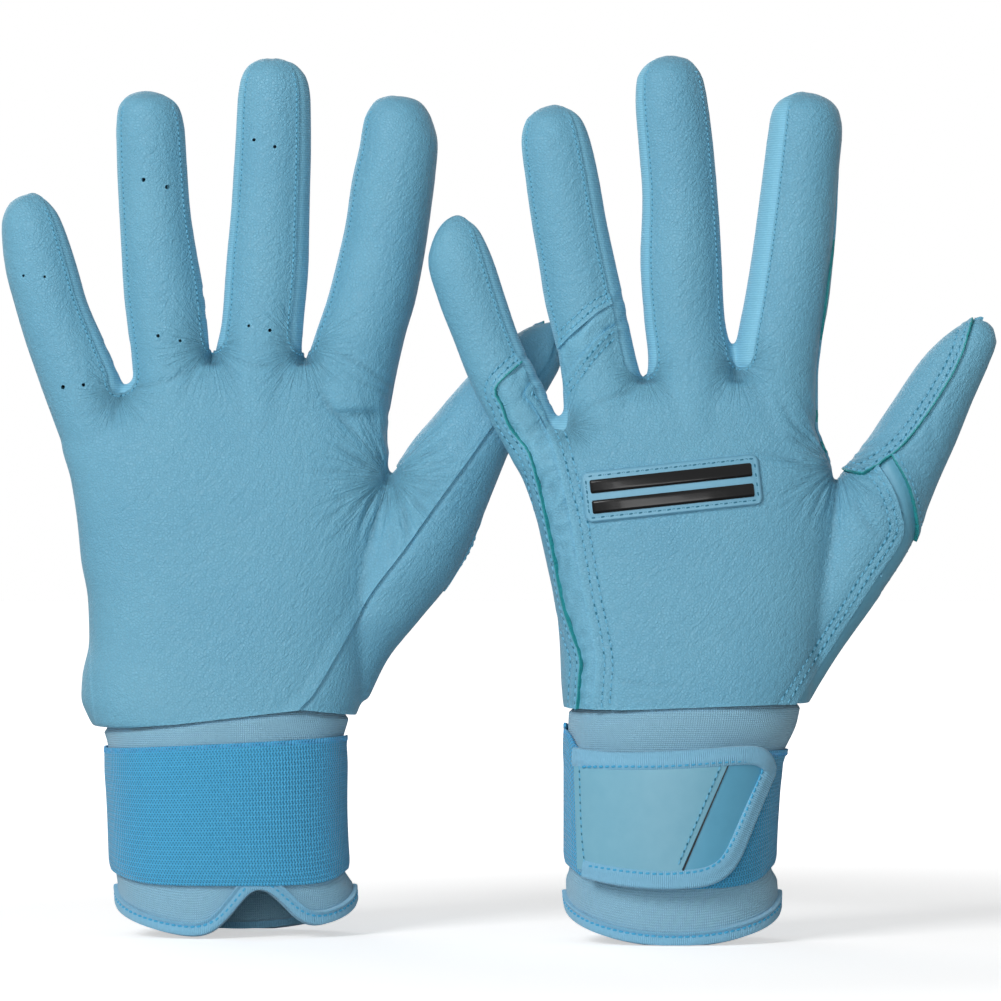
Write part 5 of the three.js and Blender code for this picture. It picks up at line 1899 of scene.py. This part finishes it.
bpy.context.scene.view_settings.view_transform = "Standard"
world = bpy.context.scene.world or bpy.data.worlds.new("world")
bpy.context.scene.world = world
world.use_nodes = True
tree = world.node_tree
tree.nodes.clear()
path = node(tree, "ShaderNodeLightPath")
seen = arithmetic(tree, "MAXIMUM", path.outputs["Is Camera Ray"], path.outputs["Is Transmission Ray"])
seen = arithmetic(tree, "MAXIMUM", seen, path.outputs["Is Glossy Ray"])
level = arithmetic(tree, "ADD", arithmetic(tree, "MULTIPLY", seen, 1 - AMBIENT), AMBIENT)
sky = node(tree, "ShaderNodeBackground", {"Color": (1, 1, 1, 1), "Strength": level})
tree.links.new(sky.outputs[0], node(tree, "ShaderNodeOutputWorld").inputs[0])

bpy.ops.object.select_all(action="DESELECT")
bpy.ops.mesh.primitive_plane_add(size=FLOOR_SIZE, location=(0, 0, -FLOOR_DROP))
floor = bpy.context.active_object
floor.name = "floor"
floor_material, tree, shader = new_material("white floor", 0.9, specular=0.1)
shader.inputs["Base Color"].default_value = (0.86, 0.86, 0.86, 1)
path = node(tree, "ShaderNodeLightPath")
# Painted light: to the camera the floor glows, weakly near the gloves so that their shadow stays, and fully farther
# out so that it reads white up to the horizon.
from_middle = node(tree, "ShaderNodeVectorMath", {0: node(tree, "ShaderNodeTexCoord").outputs["Object"]},
                   operation="LENGTH").outputs["Value"]
glow = node(tree, "ShaderNodeMapRange", {"Value": from_middle, "From Min": 0.2, "From Max": 0.7,
                                         "To Min": 0.55, "To Max": 1.0}).outputs[0]
glow_seen = arithmetic(tree, "MULTIPLY", path.outputs["Is Camera Ray"], glow)
tree.links.new(glow_seen, shader.inputs["Emission Strength"])
shader.inputs["Emission Color"].default_value = (1, 1, 1, 1)
floor.data.materials.append(floor_material)
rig.stage(floor)
print("lamps", {name: watts for name, (_, _, watts) in LAMPS.items()})

# %% [markdown]
# The photograph was taken level, from the front. The camera stands where its middle pixel looks
# straight along +Y, and the focal length makes one pixel at the left glove as wide as it should be.

# %% The camera
SENSOR = 36
FRAME_PX = 1001
bpy.ops.object.camera_add(location=(MIDDLE_X, DEPTH["left"] - VIEW_DISTANCE, MIDDLE_Z),
                          rotation=(math.pi / 2, 0, 0))
camera = bpy.context.active_object
camera.data.sensor_width = SENSOR
camera.data.lens = SENSOR * VIEW_DISTANCE / (FRAME_PX * UNIT["left"])
camera.data.clip_end = 20
bpy.context.scene.camera = camera
print("focal length", round(camera.data.lens, 2), "mm")

# %% The sizes of both models
visual_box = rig.bounds()
with open("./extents.json", "w") as file:
    json.dump({"cad": [list(c) for c in cad_box], "visual": [list(c) for c in visual_box]}, file)
print("visual box", [[round(v, 4) for v in corner] for corner in visual_box])
